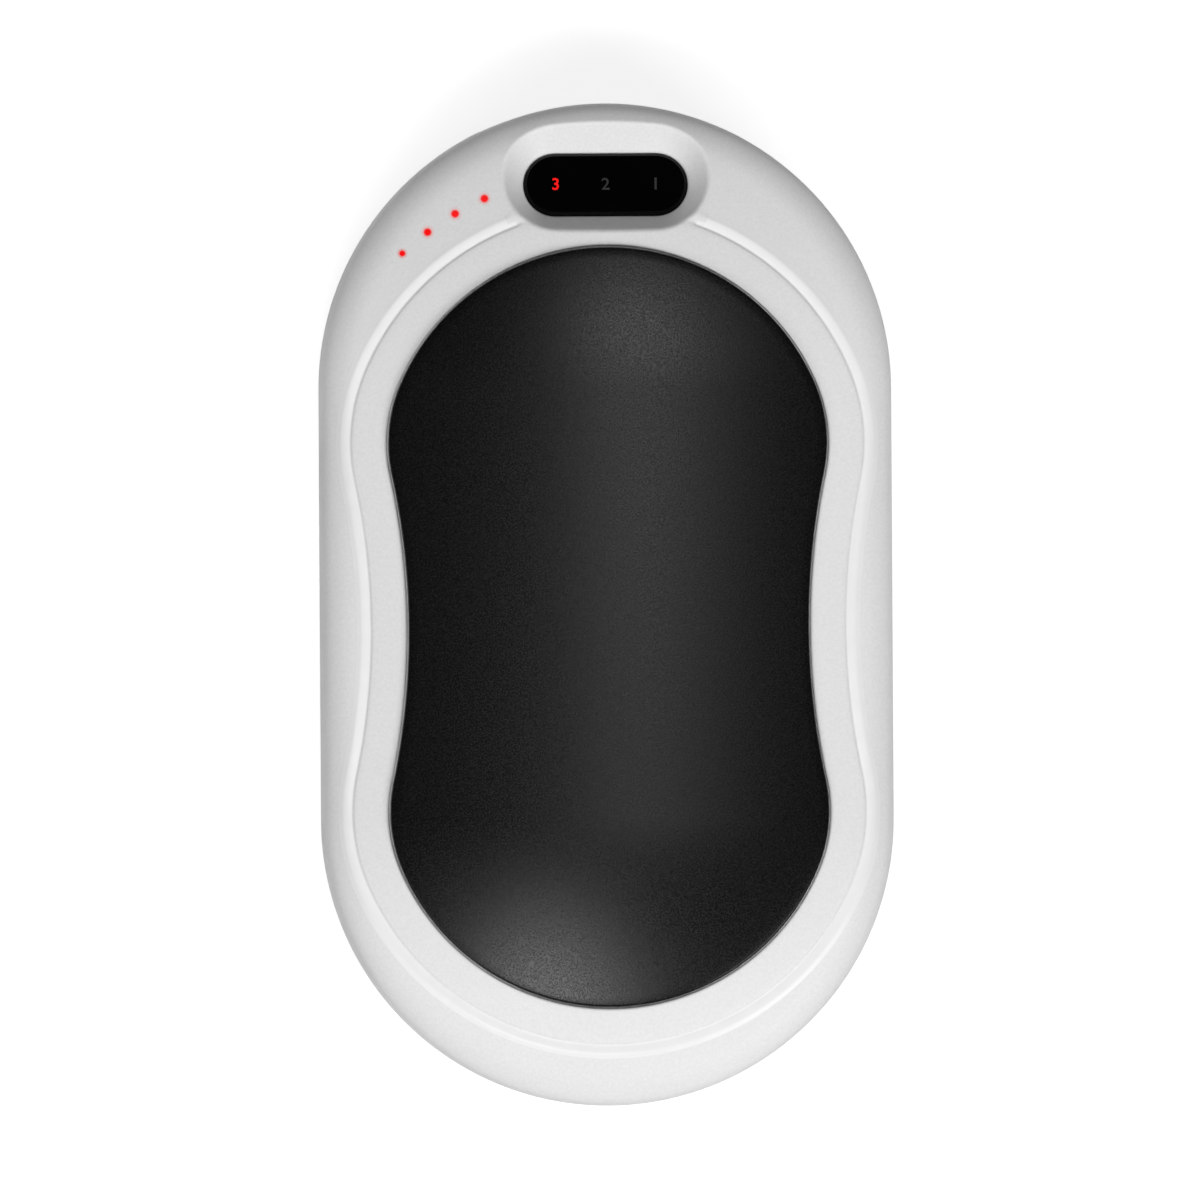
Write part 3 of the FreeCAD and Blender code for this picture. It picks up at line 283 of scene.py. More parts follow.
def grid_faces(rows, columns, closed=True):
    """Corner numbers of the quads between rings of points; closed joins the last ring to the first."""
    r = np.arange(rows if closed else rows - 1)[:, None]
    c = np.arange(columns)[None, :]
    down = (r + 1) % rows
    right = (c + 1) % columns
    quads = [r * columns + c, r * columns + right, down * columns + right, down * columns + c]
    return np.stack(np.broadcast_arrays(*quads), -1).reshape(-1, 4)


MERGE_GAP = 1e-7


def show(name, mesh):
    """Object at the origin that shows a mesh, or holds other data."""
    piece = bpy.data.objects.new(name, mesh)
    bpy.context.scene.collection.objects.link(piece)
    return piece


def put_mesh(name, points, faces):
    """Object at the origin, made from points in millimetres; doubles are merged and faces turned outwards."""
    mesh = bpy.data.meshes.new(name)
    mesh.from_pydata((np.asarray(points).reshape(-1, 3) / 1000).tolist(), [], [list(f) for f in faces])
    work = bmesh.new()
    work.from_mesh(mesh)
    bmesh.ops.remove_doubles(work, verts=work.verts, dist=MERGE_GAP)
    bmesh.ops.recalc_face_normals(work, faces=work.faces)
    work.to_mesh(mesh)
    work.free()
    mesh.shade_smooth()
    return show(name, mesh)


PILL_STEP = 0.5


def pill(half, count):
    """Spine points and outward normals round a stadium along X, with a count of points on each end."""
    turns = np.linspace(-90, 90, count)
    straight = np.linspace(-half, half, 2 + int(2 * half / PILL_STEP))[1:-1]
    spine_x = np.concatenate([np.full(count, half), straight[::-1], np.full(count, -half), straight])
    up = np.full(len(straight), 90.0)
    angle = np.radians(np.concatenate([turns, up, turns + 180, -up]))
    spine = np.stack([spine_x, np.zeros(len(spine_x))], -1)
    return spine, np.stack([np.cos(angle), np.sin(angle)], -1)


def prism(outline, low, high):
    """Upright prism of an outline: its points and faces, with flat ends."""
    count = len(outline)
    ends = [np.concatenate([outline, np.full((count, 1), z)], 1) for z in (low, high)]
    faces = grid_faces(2, count, closed=False).tolist()
    return np.concatenate(ends), faces + [list(range(count)), list(range(count, 2 * count))]


def box_prism(low, high):
    """Box between two corners."""
    outline = np.array([[low[0], low[1]], [high[0], low[1]], [high[0], high[1]], [low[0], high[1]]])
    return prism(outline, low[2], high[2])


def placed(shape, matrix):
    """A shape carried by a matrix, in millimetres."""
    points, faces = shape
    turned = points @ np.array(matrix.to_3x3()).T + np.array(matrix.translation)
    return turned, faces


def cut_away(piece, shapes):
    """Cuts closed shapes, in millimetres, out of a piece one after the other."""
    tools = [put_mesh("tool", *shape) for shape in shapes]
    for tool in tools:
        tool.data.materials.append(piece.data.materials[0])
        cut = piece.modifiers.new("cut", "BOOLEAN")
        cut.operation = "DIFFERENCE"
        cut.solver = "MANIFOLD"
        cut.object = tool
    result = bpy.data.meshes.new_from_object(piece.evaluated_get(bpy.context.evaluated_depsgraph_get()))
    piece.modifiers.clear()
    piece.data = result
    for tool in tools:
        bpy.data.objects.remove(tool)
    piece.data.set_sharp_from_angle(angle=CREASE)


CREASE = math.radians(32)
END_POINTS = 17
BAY_HALF = 14.0
BAY_OUT = 2 * WALL + BAY_R
OUTLET = (np.array([-4.5, 13.1]), np.array([-3.3, 2.4]))
INLET = (np.array([8.2, 7.5]), np.array([-0.2, 2.4]))
SOCKET_GAP = 0.15
SOCKET_OVERCUT = 1.0
BUTTON_ANGLE = math.radians(16)
BUTTON_HALF = 3.3
BUTTON_R = 2.2
BUTTON_GAP = 0.2
BUTTON_DEEP = 27.7
BUTTON_OVERCUT = 2.0
to_end_wall = Matrix.Translation((0, BAY_Y, PARTING)) @ Matrix.Rotation(math.radians(-90), 4, "X")
to_button = (Matrix.Translation((0, HALF_STRAIGHT, PARTING)) @ Matrix.Rotation(BUTTON_ANGLE, 4, "Z")
             @ Matrix.Rotation(math.radians(90), 4, "Y") @ Matrix.Rotation(math.radians(90), 4, "Z"))


def case_openings():
    """Room for the sockets' bay, the two sockets in its floor and the side button."""
    spine, normal = pill(BAY_HALF - BAY_R, END_POINTS)
    shapes = [placed(prism(spine + BAY_R * normal, 0, BAY_OUT), to_end_wall)]
    for (x, width), (low, high) in (OUTLET, INLET):
        half = width / 2 + SOCKET_GAP
        deep = BAY_Y - 2 * BAY_SKIN
        shapes.append(box_prism((x - half, deep, PARTING + low - SOCKET_GAP),
                                (x + half, BAY_Y + SOCKET_OVERCUT, PARTING + high + SOCKET_GAP)))
    spine, normal = pill(BUTTON_HALF, END_POINTS)
    slot = spine + (BUTTON_R + BUTTON_GAP) * normal
    shapes.append(placed(prism(slot, BUTTON_DEEP, END_R + BUTTON_OVERCUT), to_button))
    return shapes


def new_finish(name, colour, roughness, **values):
    """Material and its shader, with the values that are the same all over on the shader's own sockets."""
    finish = bpy.data.materials.new(name)
    finish.use_nodes = True
    shader = finish.node_tree.nodes["Principled BSDF"]
    shader.inputs["Base Color"].default_value = (*colour, 1)
    shader.inputs["Roughness"].default_value = roughness
    for socket, value in values.items():
        shader.inputs[socket.replace("_", " ")].default_value = value
    return finish, shader


NOISE_LOW = 0.3
NOISE_HIGH = 0.7


def noise_node(tree, size, detail=3.0, stretch=(1, 1, 1)):
    """Noise over the piece's own coordinates with a grain of a given size in millimetres."""
    place = tree.nodes.new("ShaderNodeTexCoord")
    mapping = tree.nodes.new("ShaderNodeMapping")
    mapping.inputs["Scale"].default_value = stretch
    noise = tree.nodes.new("ShaderNodeTexNoise")
    noise.inputs["Scale"].default_value = 1000 / size
    noise.inputs["Detail"].default_value = detail
    tree.links.new(place.outputs["Object"], mapping.inputs["Vector"])
    tree.links.new(mapping.outputs["Vector"], noise.inputs["Vector"])
    return noise


def spread(tree, noise, low, high):
    """Noise carried to a range of values."""
    rescale = tree.nodes.new("ShaderNodeMapRange")
    rescale.inputs["From Min"].default_value = NOISE_LOW
    rescale.inputs["From Max"].default_value = NOISE_HIGH
    rescale.inputs["To Min"].default_value = low
    rescale.inputs["To Max"].default_value = high
    tree.links.new(noise.outputs["Fac"], rescale.inputs["Value"])
    return rescale.outputs["Result"]


def tint(tree, noise, dark, light):
    """Noise carried to a blend between two colours."""
    ramp = tree.nodes.new("ShaderNodeValToRGB")
    ramp.color_ramp.elements[0].position = NOISE_LOW
    ramp.color_ramp.elements[0].color = (*dark, 1)
    ramp.color_ramp.elements[1].position = NOISE_HIGH
    ramp.color_ramp.elements[1].color = (*light, 1)
    tree.links.new(noise.outputs["Fac"], ramp.inputs["Fac"])
    return ramp.outputs["Color"]


def grain(finish, shader, size, depth, rough, dark, light, stretch=(1, 1, 1), cloud=12.0):
    """Surface texture: a fine grain that stands up and tints the colour, and clouds of roughness."""
    tree = finish.node_tree
    fine = noise_node(tree, size, 2.0, stretch)
    broad = noise_node(tree, cloud)
    bump = tree.nodes.new("ShaderNodeBump")
    bump.inputs["Strength"].default_value = 1.0
    bump.inputs["Distance"].default_value = depth / 1000
    tree.links.new(fine.outputs["Fac"], bump.inputs["Height"])
    tree.links.new(bump.outputs["Normal"], shader.inputs["Normal"])
    tree.links.new(spread(tree, broad, *rough), shader.inputs["Roughness"])
    tree.links.new(tint(tree, fine, dark, light), shader.inputs["Base Color"])
    return finish


def moulded_white(name):
    """White ABS with the fine spark texture of its mould."""
    return grain(*new_finish(name, (0.78, 0.78, 0.78), 0.5), size=0.32, depth=0.012, rough=(0.46, 0.56),
                 dark=(0.76, 0.76, 0.76), light=(0.81, 0.81, 0.81))


case_white = moulded_white("rear_white")
# The bead's finish is polished, and its colour is painted lighter than the case's white as a highlight.
bead_polish_and_painted_highlight = grain(*new_finish("bead_polish_and_painted_highlight", (0.85, 0.85, 0.85), 0.38), size=2.0, depth=0.002,
                    rough=(0.34, 0.42), dark=(0.84, 0.84, 0.84), light=(0.86, 0.86, 0.86))

outline, outline_normals = plate_outline(OUTLINE_STEP)
COLUMNS = len(outline)
LIP_INNER_R = 29.65
LIP_OUTER_R = 30.45
LIP_HEIGHT = 1.2
LIP_BAY_HALF = 17.6
LIP_BAY_Y = 48.0
LIP_BUTTON_HALF = 6.8
BEAD_ROW = 2 + ROUND_OVER_ROWS + SHOULDER_ROWS - 1 + BETWEEN_ROWS - 1


def bead_highlight_finish(rows):
    """Finish number of each quad of a shell: one on the bead's own rows, which are polished and painted
    lighter as a highlight, else nought.
    """
    index = np.zeros(rows * COLUMNS, np.int32)
    index[BEAD_ROW * COLUMNS:(BEAD_ROW + BEAD_POINTS - 1) * COLUMNS] = 1
    return index


rear_rim = [(None, 0.0), (LIP_INNER_R, 0.0), (LIP_INNER_R, -LIP_HEIGHT), (LIP_OUTER_R, -LIP_HEIGHT),
            (LIP_OUTER_R, 0.0)]
rear_rows, _ = shell_rows(outline, outline_normals, rear_rim)
rear_rows[..., 2] = PARTING - rear_rows[..., 2]
rear_faces = grid_faces(len(rear_rows), COLUMNS)
rear_shell = put_mesh("rear_shell", rear_rows, rear_faces)
rear_shell.data.materials.append(case_white)
rear_shell.data.materials.append(bead_polish_and_painted_highlight)
rear_shell.data.polygons.foreach_set("material_index", bead_highlight_finish(len(rear_rows)))
bay_gap = box_prism((-LIP_BAY_HALF, LIP_BAY_Y, PARTING),
                    (LIP_BAY_HALF, LIP_BAY_Y + END_R, PARTING + 2 * LIP_HEIGHT))
button_gap = placed(box_prism((-LIP_BUTTON_HALF, 0, BUTTON_DEEP), (LIP_BUTTON_HALF, 2 * LIP_HEIGHT, END_R)),
                    to_button)
cut_away(rear_shell, case_openings() + [bay_gap, button_gap])
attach(rear_shell, "case")
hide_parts("rear_housing")

# Heat plates
# The two plates that warm the hands: domed aluminium sheets with a satin black coat, bonded into the seats of
# the housings. The rear one is flattened in the middle, so that the warmer lies still.

PLATE_UNDER = -0.4
PLATE_EDGE_R = 0.25
PLATE_ROWS = 26
PLATE_EDGE_POINTS = 7


def plate_rows():
    """Rows of points from the plate's spine over its top, round its edge and back along its underside.

    Top and underside follow the crown at even distances. Columns run straight from the spine, the line
    between the centres of the plate's ends, to its outline, and a quarter round joins the top to the side.
    """
    half = PLATE_HALF - PLATE_END_R
    spine = np.stack([np.zeros(COLUMNS), np.clip(outline[:, 1], PLATE_Y - half, PLATE_Y + half)], -1)
    run, drop = quarter_turn(PLATE_EDGE_POINTS)
    round_start = outline - PLATE_EDGE_R * outline_normals
    shares = np.linspace(0, 1, PLATE_ROWS)
    plans = [part_way(spine, round_start, s) for s in shares]
    plans += [round_start + PLATE_EDGE_R * r * outline_normals for r in run[1:]]
    plans += [part_way(outline, spine, s) for s in shares]
    tops = np.concatenate([np.full(PLATE_ROWS, PLATE_TOP), PLATE_TOP - PLATE_EDGE_R * drop[1:],
                           np.full(PLATE_ROWS, PLATE_UNDER)])
    plans = np.stack(plans)
    return np.concatenate([plans, (crown_height(plans) + tops[:, None])[..., None]], -1)


plate_black = grain(*new_finish("coat_black", (0.0015, 0.0015, 0.0016), 0.26, Specular_IOR_Level=0.18),
                    size=0.17, depth=0.007, rough=(0.19, 0.33), dark=(0.0, 0.0, 0.0),
                    light=(0.005, 0.005, 0.0053), cloud=0.19)
front_plate_rows = plate_rows()
rear_plate_rows = front_plate_rows * np.array([1, 1, -1])
plate_faces = grid_faces(len(front_plate_rows), COLUMNS, closed=False)
for name, rows in (("front", front_plate_rows), ("rear", rear_plate_rows)):
    rows = rows + np.array([0, 0, PARTING])
    rows[..., 2] = np.maximum(rows[..., 2], 0)
    plate = put_mesh(name + "_plate", rows, plate_faces)
    plate.data.materials.append(plate_black)
    plate.data.set_sharp_from_angle(angle=CREASE)
    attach(plate, "case")
    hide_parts(name + "_heat_plate")

# Heaters
# Behind each plate lie a ring of black bonding tape, an amber polyimide film with the heating track, and a
# grey foam pad that keeps the heat from the cells. A thermistor on the front film watches the temperature.


def dress(finish, *names):
    """Gives nodes their finish."""
    for name in names:
        nodes[name].material_slots[0].material = finish


dress(grain(*new_finish("gasket_black", (0.03, 0.03, 0.03), 0.8), size=0.4, depth=0.03, rough=(0.75, 0.9),
            dark=(0.02, 0.02, 0.02), light=(0.04, 0.04, 0.04)), "front_plate_gasket", "rear_plate_gasket")
dress(grain(*new_finish("foam_grey", (0.25, 0.25, 0.25), 0.95), size=0.7, depth=0.15, rough=(0.9, 1.0),
            dark=(0.17, 0.17, 0.17), light=(0.31, 0.31, 0.31)), "front_insulator", "rear_insulator")
dress(grain(*new_finish("film_amber", (0.45, 0.22, 0.05), 0.3, Coat_Weight=0.4), size=1.6, depth=0.01,
            rough=(0.25, 0.4), dark=(0.33, 0.14, 0.03), light=(0.5, 0.26, 0.06), stretch=(1, 0.08, 1)),
      "front_heater_film", "rear_heater_film")
dress(grain(*new_finish("sensor_black", (0.02, 0.02, 0.02), 0.3), size=0.5, depth=0.01, rough=(0.25, 0.4),
            dark=(0.015, 0.015, 0.015), light=(0.03, 0.03, 0.03)), "thermistor")

# Battery
# Two 18 by 65 mm cells in shrink sleeves lie side by side in a moulded cradle. Welded nickel strips join
# them, one with a tab up to the board, and a silicone lead comes from the other.

dress(grain(*new_finish("cell_sleeve", (0.08, 0.25, 0.5), 0.35), size=3.0, depth=0.02, rough=(0.3, 0.42),
            dark=(0.07, 0.22, 0.45), light=(0.09, 0.27, 0.54), stretch=(1, 0.2, 1)),
      "left_cell", "right_cell")
dress(grain(*new_finish("nickel", (0.65, 0.64, 0.6), 0.3, Metallic=1.0), size=0.3, depth=0.004,
            rough=(0.25, 0.4), dark=(0.58, 0.57, 0.53), light=(0.7, 0.69, 0.65), stretch=(0.05, 1, 1)),
      "positive_strip", "negative_strip")
dress(grain(*new_finish("cradle_grey", (0.3, 0.3, 0.3), 0.55), size=0.35, depth=0.012, rough=(0.5, 0.62),
            dark=(0.27, 0.27, 0.27), light=(0.33, 0.33, 0.33)), "cell_cradle")
dress(grain(*new_finish("lead_insulation", (0.05, 0.05, 0.05), 0.6), size=0.8, depth=0.01, rough=(0.52, 0.7),
            dark=(0.035, 0.035, 0.035), light=(0.06, 0.06, 0.06)),
      "negative_lead", "front_heater_leads", "rear_heater_leads")

# Circuit board
# A green glass-epoxy board with solder mask across the display end, and on it the controller, the inductor,
# ceramic capacitors and the small light sources for the window and the dots.

dress(grain(*new_finish("board_green", (0.03, 0.18, 0.08), 0.4), size=1.4, depth=0.03, rough=(0.34, 0.48),
            dark=(0.02, 0.13, 0.055), light=(0.04, 0.22, 0.1), stretch=(1, 0.15, 1)), "main_board")
dress(grain(*new_finish("chip_black", (0.02, 0.02, 0.02), 0.55), size=0.2, depth=0.006, rough=(0.5, 0.62),
            dark=(0.015, 0.015, 0.015), light=(0.026, 0.026, 0.026)), "controller_chip")
dress(grain(*new_finish("ferrite_grey", (0.12, 0.12, 0.12), 0.6), size=0.3, depth=0.02, rough=(0.55, 0.7),
            dark=(0.09, 0.09, 0.09), light=(0.15, 0.15, 0.15)), "power_inductor")
dress(grain(*new_finish("ceramic_tan", (0.45, 0.36, 0.25), 0.45), size=0.5, depth=0.006, rough=(0.4, 0.52),
            dark=(0.4, 0.31, 0.21), light=(0.5, 0.4, 0.28)), "board_capacitors")
dress(grain(*new_finish("led_clear", (0.9, 0.85, 0.8), 0.2), size=0.3, depth=0.003, rough=(0.15, 0.28),
            dark=(0.85, 0.8, 0.74), light=(0.93, 0.89, 0.85)), "display_leds", "charge_leds")

# Sockets
# The power outlet and the charging inlet, folded from nickel-plated steel sheet round moulded black tongues.
# They are soldered to the board and open into the bay in the end wall.

dress(grain(*new_finish("socket_steel", (0.62, 0.62, 0.62), 0.3, Metallic=1.0), size=0.25, depth=0.004,
            rough=(0.24, 0.38), dark=(0.56, 0.56, 0.56), light=(0.68, 0.68, 0.67), stretch=(1, 0.06, 1)),
      "usb_output_shell", "charge_inlet_shell")
dress(grain(*new_finish("tongue_black", (0.02, 0.02, 0.02), 0.5), size=0.3, depth=0.006, rough=(0.44, 0.58),
            dark=(0.015, 0.015, 0.015), light=(0.028, 0.028, 0.028)),
      "usb_output_tongue", "charge_inlet_tongue")

# Side button
# A white moulded keycap that lies flush in the side wall, with a flange behind the wall and a stem that
# presses the tact switch on the board's edge. The switch's sprung steel dome flattens under the plunger on
# the real switch; here it is built in its resting shape and stays with the case.

BUTTON_FLANGE = 0.8
BUTTON_FLANGE_OUT = 29.1
BUTTON_STEM_R = 1.4
BUTTON_STEM_END = 26.3
BUTTON_EDGE_R = 0.4
BUTTON_DIMPLE = 0.25
BUTTON_FACE_ROWS = 10
BUTTON_EDGE_POINTS = 6


def on_side_wall(plan, sink):
    """Points of the button at a depth under the round side wall, which leans in by the draft."""
    wall = END_R - sink - np.abs(plan[..., 1]) * draft_slope
    return np.concatenate([plan, np.sqrt(wall ** 2 - plan[..., 0] ** 2)[..., None]], -1)


def button_rows():
    """Rows of points from the middle of the keycap's face, over its soft edge and down its side, to its stem.

    The face is hollowed a little for the fingertip, as a squared cosine over the keycap's half width. A
    flange goes out behind the wall, and the stem's rows shrink the stadium to a circle.
    """
    spine, normal = pill(BUTTON_HALF, END_POINTS)
    run, drop = quarter_turn(BUTTON_EDGE_POINTS)
    shares = np.linspace(0, 1, BUTTON_FACE_ROWS)
    hollow = BUTTON_DIMPLE * np.cos(shares * math.pi / 2) ** 2
    rows = [on_side_wall(spine + (BUTTON_R - BUTTON_EDGE_R) * s * normal, h) for s, h in zip(shares, hollow)]
    rows += [on_side_wall(spine + (BUTTON_R - BUTTON_EDGE_R * (1 - r)) * normal, BUTTON_EDGE_R * d)
             for r, d in zip(run[1:], drop[1:])]
    rows.append(on_side_wall(spine + BUTTON_R * normal, END_R - BUTTON_FLANGE_OUT))
    rows.append(on_side_wall(spine + (BUTTON_R + BUTTON_FLANGE) * normal, END_R - BUTTON_FLANGE_OUT))
    back = [(1, BUTTON_R + BUTTON_FLANGE, BUTTON_DEEP), (0, BUTTON_STEM_R, BUTTON_DEEP),
            (0, BUTTON_STEM_R, BUTTON_STEM_END), (0, 0, BUTTON_STEM_END)]
    for keep, radius, height in back:
        plan = keep * spine + radius * normal
        rows.append(np.concatenate([plan, np.full((len(plan), 1), height)], 1))
    return np.stack(rows)


button_points = button_rows()
button_faces = grid_faces(*button_points.shape[:2], closed=False)
button = put_mesh("button_cap", *placed((button_points.reshape(-1, 3), button_faces), to_button))
button.data.materials.append(moulded_white("keycap_white"))
button.data.set_sharp_from_angle(angle=CREASE)
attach(button, "button")
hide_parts("power_button")
dress(grain(*new_finish("switch_black", (0.03, 0.03, 0.03), 0.5), size=0.3, depth=0.006, rough=(0.44, 0.58),
            dark=(0.022, 0.022, 0.022), light=(0.04, 0.04, 0.04)), "switch_body", "switch_plunger")

DOME_TOP = 23.98
DOME_EDGE_R = 1.8
DOME_RISE = 0.9
DOME_SHEET = 0.1
DOME_COLUMNS = 48
DOME_ROWS = 10


def dome_rows():
    """Rows of points over the switch's dome and back under it: two balls about one centre, a sheet apart."""
    ball_r = (DOME_EDGE_R ** 2 + DOME_RISE ** 2) / (2 * DOME_RISE)
    centre = DOME_TOP - ball_r
    under_r = ball_r - DOME_SHEET
    under_edge = math.sqrt(under_r ** 2 - (ball_r - DOME_RISE) ** 2)
    over = np.linspace(0, DOME_EDGE_R, DOME_ROWS)
    under = np.linspace(under_edge, 0, DOME_ROWS)
    reach = np.concatenate([over, under])
    height = centre + np.sqrt(np.concatenate([ball_r ** 2 - over ** 2, under_r ** 2 - under ** 2]))
    turn = np.linspace(0, 2 * math.pi, DOME_COLUMNS, endpoint=False)
    ring = np.stack([np.cos(turn), np.sin(turn)], -1)
    plan = reach[:, None, None] * ring[None]
    return np.concatenate([plan, np.broadcast_to(height[:, None, None], (len(reach), DOME_COLUMNS, 1))], -1)


dome_points = dome_rows()
dome_faces = grid_faces(*dome_points.shape[:2], closed=False)
dome = put_mesh("spring_dome", *placed((dome_points.reshape(-1, 3), dome_faces), to_button))
dome.data.materials.append(grain(*new_finish("dome_steel", (0.6, 0.6, 0.6), 0.25, Metallic=1.0), size=0.2,
                                 depth=0.002, rough=(0.2, 0.32), dark=(0.55, 0.55, 0.54),
                                 light=(0.66, 0.66, 0.65)))
dome.data.set_sharp_from_angle(angle=CREASE)
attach(dome, "case")
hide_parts("switch_dome")
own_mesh(dome)

# Screws
# Small steel screws with a dark zinc finish. Four of them stand under the rear plate and hold the case
# together, and two hold the board.

dress(grain(*new_finish("screw_steel", (0.5, 0.5, 0.5), 0.35, Metallic=1.0), size=0.15, depth=0.004,
            rough=(0.3, 0.45), dark=(0.4, 0.4, 0.4), light=(0.56, 0.56, 0.55)),
      "housing_screws", "board_screws")

# Front housing
# The front half of the case, moulded in the same white ABS. Besides the plate's seat it has the tilted dish
# for the display window, cut into its band and bead, and four small holes for the charge dots.

LENS_Y = 46.0
LENS_HALF = 5.48
LENS_R = 3.45
LENS_GAP = 0.08
DISH_FLOOR_Z = 8.46
DISH_TILT = math.radians(14)
DISH_LEAN = math.tan(math.radians(45.3))
DISH_FOOT = 0.3
DISH_FOOT_SOFT = 0.2
DISH_EDGE_R = 0.35
DISH_LIP_SOFT = 0.34
DISH_APRON = 0.42
DISH_TRIM = 0.95
DISH_FLOOR = 1.2
DISH_SIDE = 1.5
LIP_CLEAR = 0.1
REBATE_R = LIP_OUTER_R - LIP_CLEAR
REBATE_Z = LIP_HEIGHT + LIP_CLEAR
FRONT_RIM = [(None, REBATE_Z), (REBATE_R, REBATE_Z), (REBATE_R, 0.0)]
BAY_SILL_HALF = 16.0
BAY_SILL = 0.02


def from_dish(across, along, height):
    """Points over the parting plane, from distances measured on the dish's tilted floor and square to it."""
    y = LENS_Y + along * math.cos(DISH_TILT) + height * math.sin(DISH_TILT)
    z = DISH_FLOOR_Z - along * math.sin(DISH_TILT) + height * math.cos(DISH_TILT)
    return np.stack(np.broadcast_arrays(across, y, z), -1)


def to_dish(points):
    """Distances on the dish's floor and square to it, from points over the parting plane."""
    y = points[..., 1] - LENS_Y
    z = points[..., 2] - DISH_FLOOR_Z
    along = y * math.cos(DISH_TILT) - z * math.sin(DISH_TILT)
    return points[..., 0], along, y * math.sin(DISH_TILT) + z * math.cos(DISH_TILT)


def from_lens(across, along):
    """Distance on the dish's floor from the window's edge."""
    return np.hypot(np.maximum(np.abs(across) - LENS_HALF, 0), along) - LENS_R


def soft_least(a, b, width):
    """The lesser of two heights, rounded where they come within a width of each other."""
    near = np.maximum(1 - np.abs(a - b) / width, 0)
    return np.minimum(a, b) - width * near ** 2 / 4


def funnel(distance):
    """Height of the dish over its floor: flat at the foot, then a straight wall that leans outwards."""
    return -soft_least(np.zeros_like(distance), -(distance - DISH_FOOT) * DISH_LEAN, DISH_FOOT_SOFT)


def front_height(plan):
    """Height of the front shell with its bead and band, by the nearest point of the plate's outline."""
    flat = plan.reshape(-1, 2)
    gaps = flat[:, None, :] - outline[None, :, :]
    nearest = np.argmin((gaps ** 2).sum(-1), axis=1)
    offset = (gaps[np.arange(len(flat)), nearest] * outline_normals[nearest]).sum(-1)
    offsets, rises = rim_profile()
    rise = np.interp(offset, offsets[::-1][LEDGE_POINTS:], rises[::-1][LEDGE_POINTS:], right=0.0)
    return (shell_height(flat) + rise).reshape(plan.shape[:-1])


SEEK_STEPS = 25
SEEK_SHARE = 0.8


def height_over_dish(across, along):
    """Height of the front shell square to the dish's floor, found by stepping towards it."""
    height = np.zeros(np.broadcast(across, along).shape)
    for _ in range(SEEK_STEPS):
        point = from_dish(across, along, height)
        height = height + SEEK_SHARE * (front_height(point[..., :2]) - point[..., 2])
    return height


DISH_END_POINTS = 41
LIP_TRIALS = np.linspace(0.0, 6.0, 121)
LIP_EVENING = 3
FLOOR_STEPS = (-0.6, 0.0, 0.02, 0.08, 0.18, 0.32, 0.5, 0.75, 1)
WALL_STEPS = np.linspace(0.12, 1, 8)
WALL_STOP = 0.6
LIP_STEPS = np.linspace(-0.5, DISH_APRON, 11)
lens_spine, lens_normal = pill(LENS_HALF, DISH_END_POINTS)


def dish_rows():
    """Rows of points from the dish's floor, up its wall and over its lip, to an apron on the shell round it.

    The lip is where the funnel meets the shell. Rows lie at shares of the way to it and at small steps across
    it, and their heights are the lesser of the two surfaces, rounded where they meet. Beside the window a
    quarter round takes the floor down into the gap.
    """
    trial = LIP_TRIALS[:, None]
    plan = lens_spine[None] + (LENS_R + trial[..., None]) * lens_normal[None]
    above = funnel(trial) > height_over_dish(plan[..., 0], plan[..., 1])
    lip = trial[np.argmax(above, axis=0), 0]
    near = range(-LIP_EVENING, LIP_EVENING + 1)
    lip = sum(np.roll(lip, k) for k in near) / len(near)
    floor = [np.full(len(lip), LENS_GAP + DISH_EDGE_R * step) for step in FLOOR_STEPS]
    wall_foot = LENS_GAP + DISH_EDGE_R
    wall = [wall_foot + step * (lip - WALL_STOP - wall_foot) for step in WALL_STEPS]
    crest = [lip + step for step in LIP_STEPS]
    distance = np.stack(floor + wall + crest)
    plan = lens_spine[None] + (LENS_R + distance[..., None]) * lens_normal[None]
    shell = height_over_dish(plan[..., 0], plan[..., 1])
    height = soft_least(shell, funnel(distance), DISH_LIP_SOFT)
    over_edge = np.clip(1 - (distance - LENS_GAP) / DISH_EDGE_R, 0, 1)
    height = height - DISH_EDGE_R * (1 - np.sqrt(1 - over_edge ** 2))
    return from_dish(plan[..., 0], plan[..., 1], height)


def tub_under(points):
    """Lowers the inside of the shell where the dish's own wall and floor stand."""
    across, along, height = to_dish(points)
    under = funnel(from_lens(across, along) - DISH_SIDE) - DISH_FLOOR
    return np.where((height > under)[..., None], from_dish(across, along, np.minimum(height, under)), points)


front_rows, outer_count = shell_rows(outline, outline_normals, FRONT_RIM)
over_bay = (np.abs(front_rows[-2, :, 0]) < BAY_SILL_HALF) & (front_rows[-2, :, 1] > LIP_BAY_Y)
front_rows[-3:-1, over_bay, 2] = BAY_SILL
inside_from = outer_count + LEDGE_POINTS
inner = slice(inside_from, inside_from + INSIDE_ROWS)
front_rows[inner] = tub_under(front_rows[inner])
across, along, height = to_dish(front_rows)
in_dish = funnel(from_lens(across, along) - DISH_TRIM) < height
in_dish[outer_count:] = False
front_faces = grid_faces(len(front_rows), COLUMNS)
index = bead_highlight_finish(len(front_rows))
kept = ~in_dish.reshape(-1)[front_faces].any(1)
dish = dish_rows()
dish_columns = dish.shape[1]
dish_faces = grid_faces(len(dish), dish_columns, closed=False)
base = front_rows[..., 0].size
all_points = np.concatenate([front_rows.reshape(-1, 3), dish.reshape(-1, 3)]) + np.array([0, 0, PARTING])
dish_cap = (np.arange(dish_columns) + base).tolist()
all_faces = front_faces[kept].tolist() + (dish_faces + base).tolist() + [dish_cap]


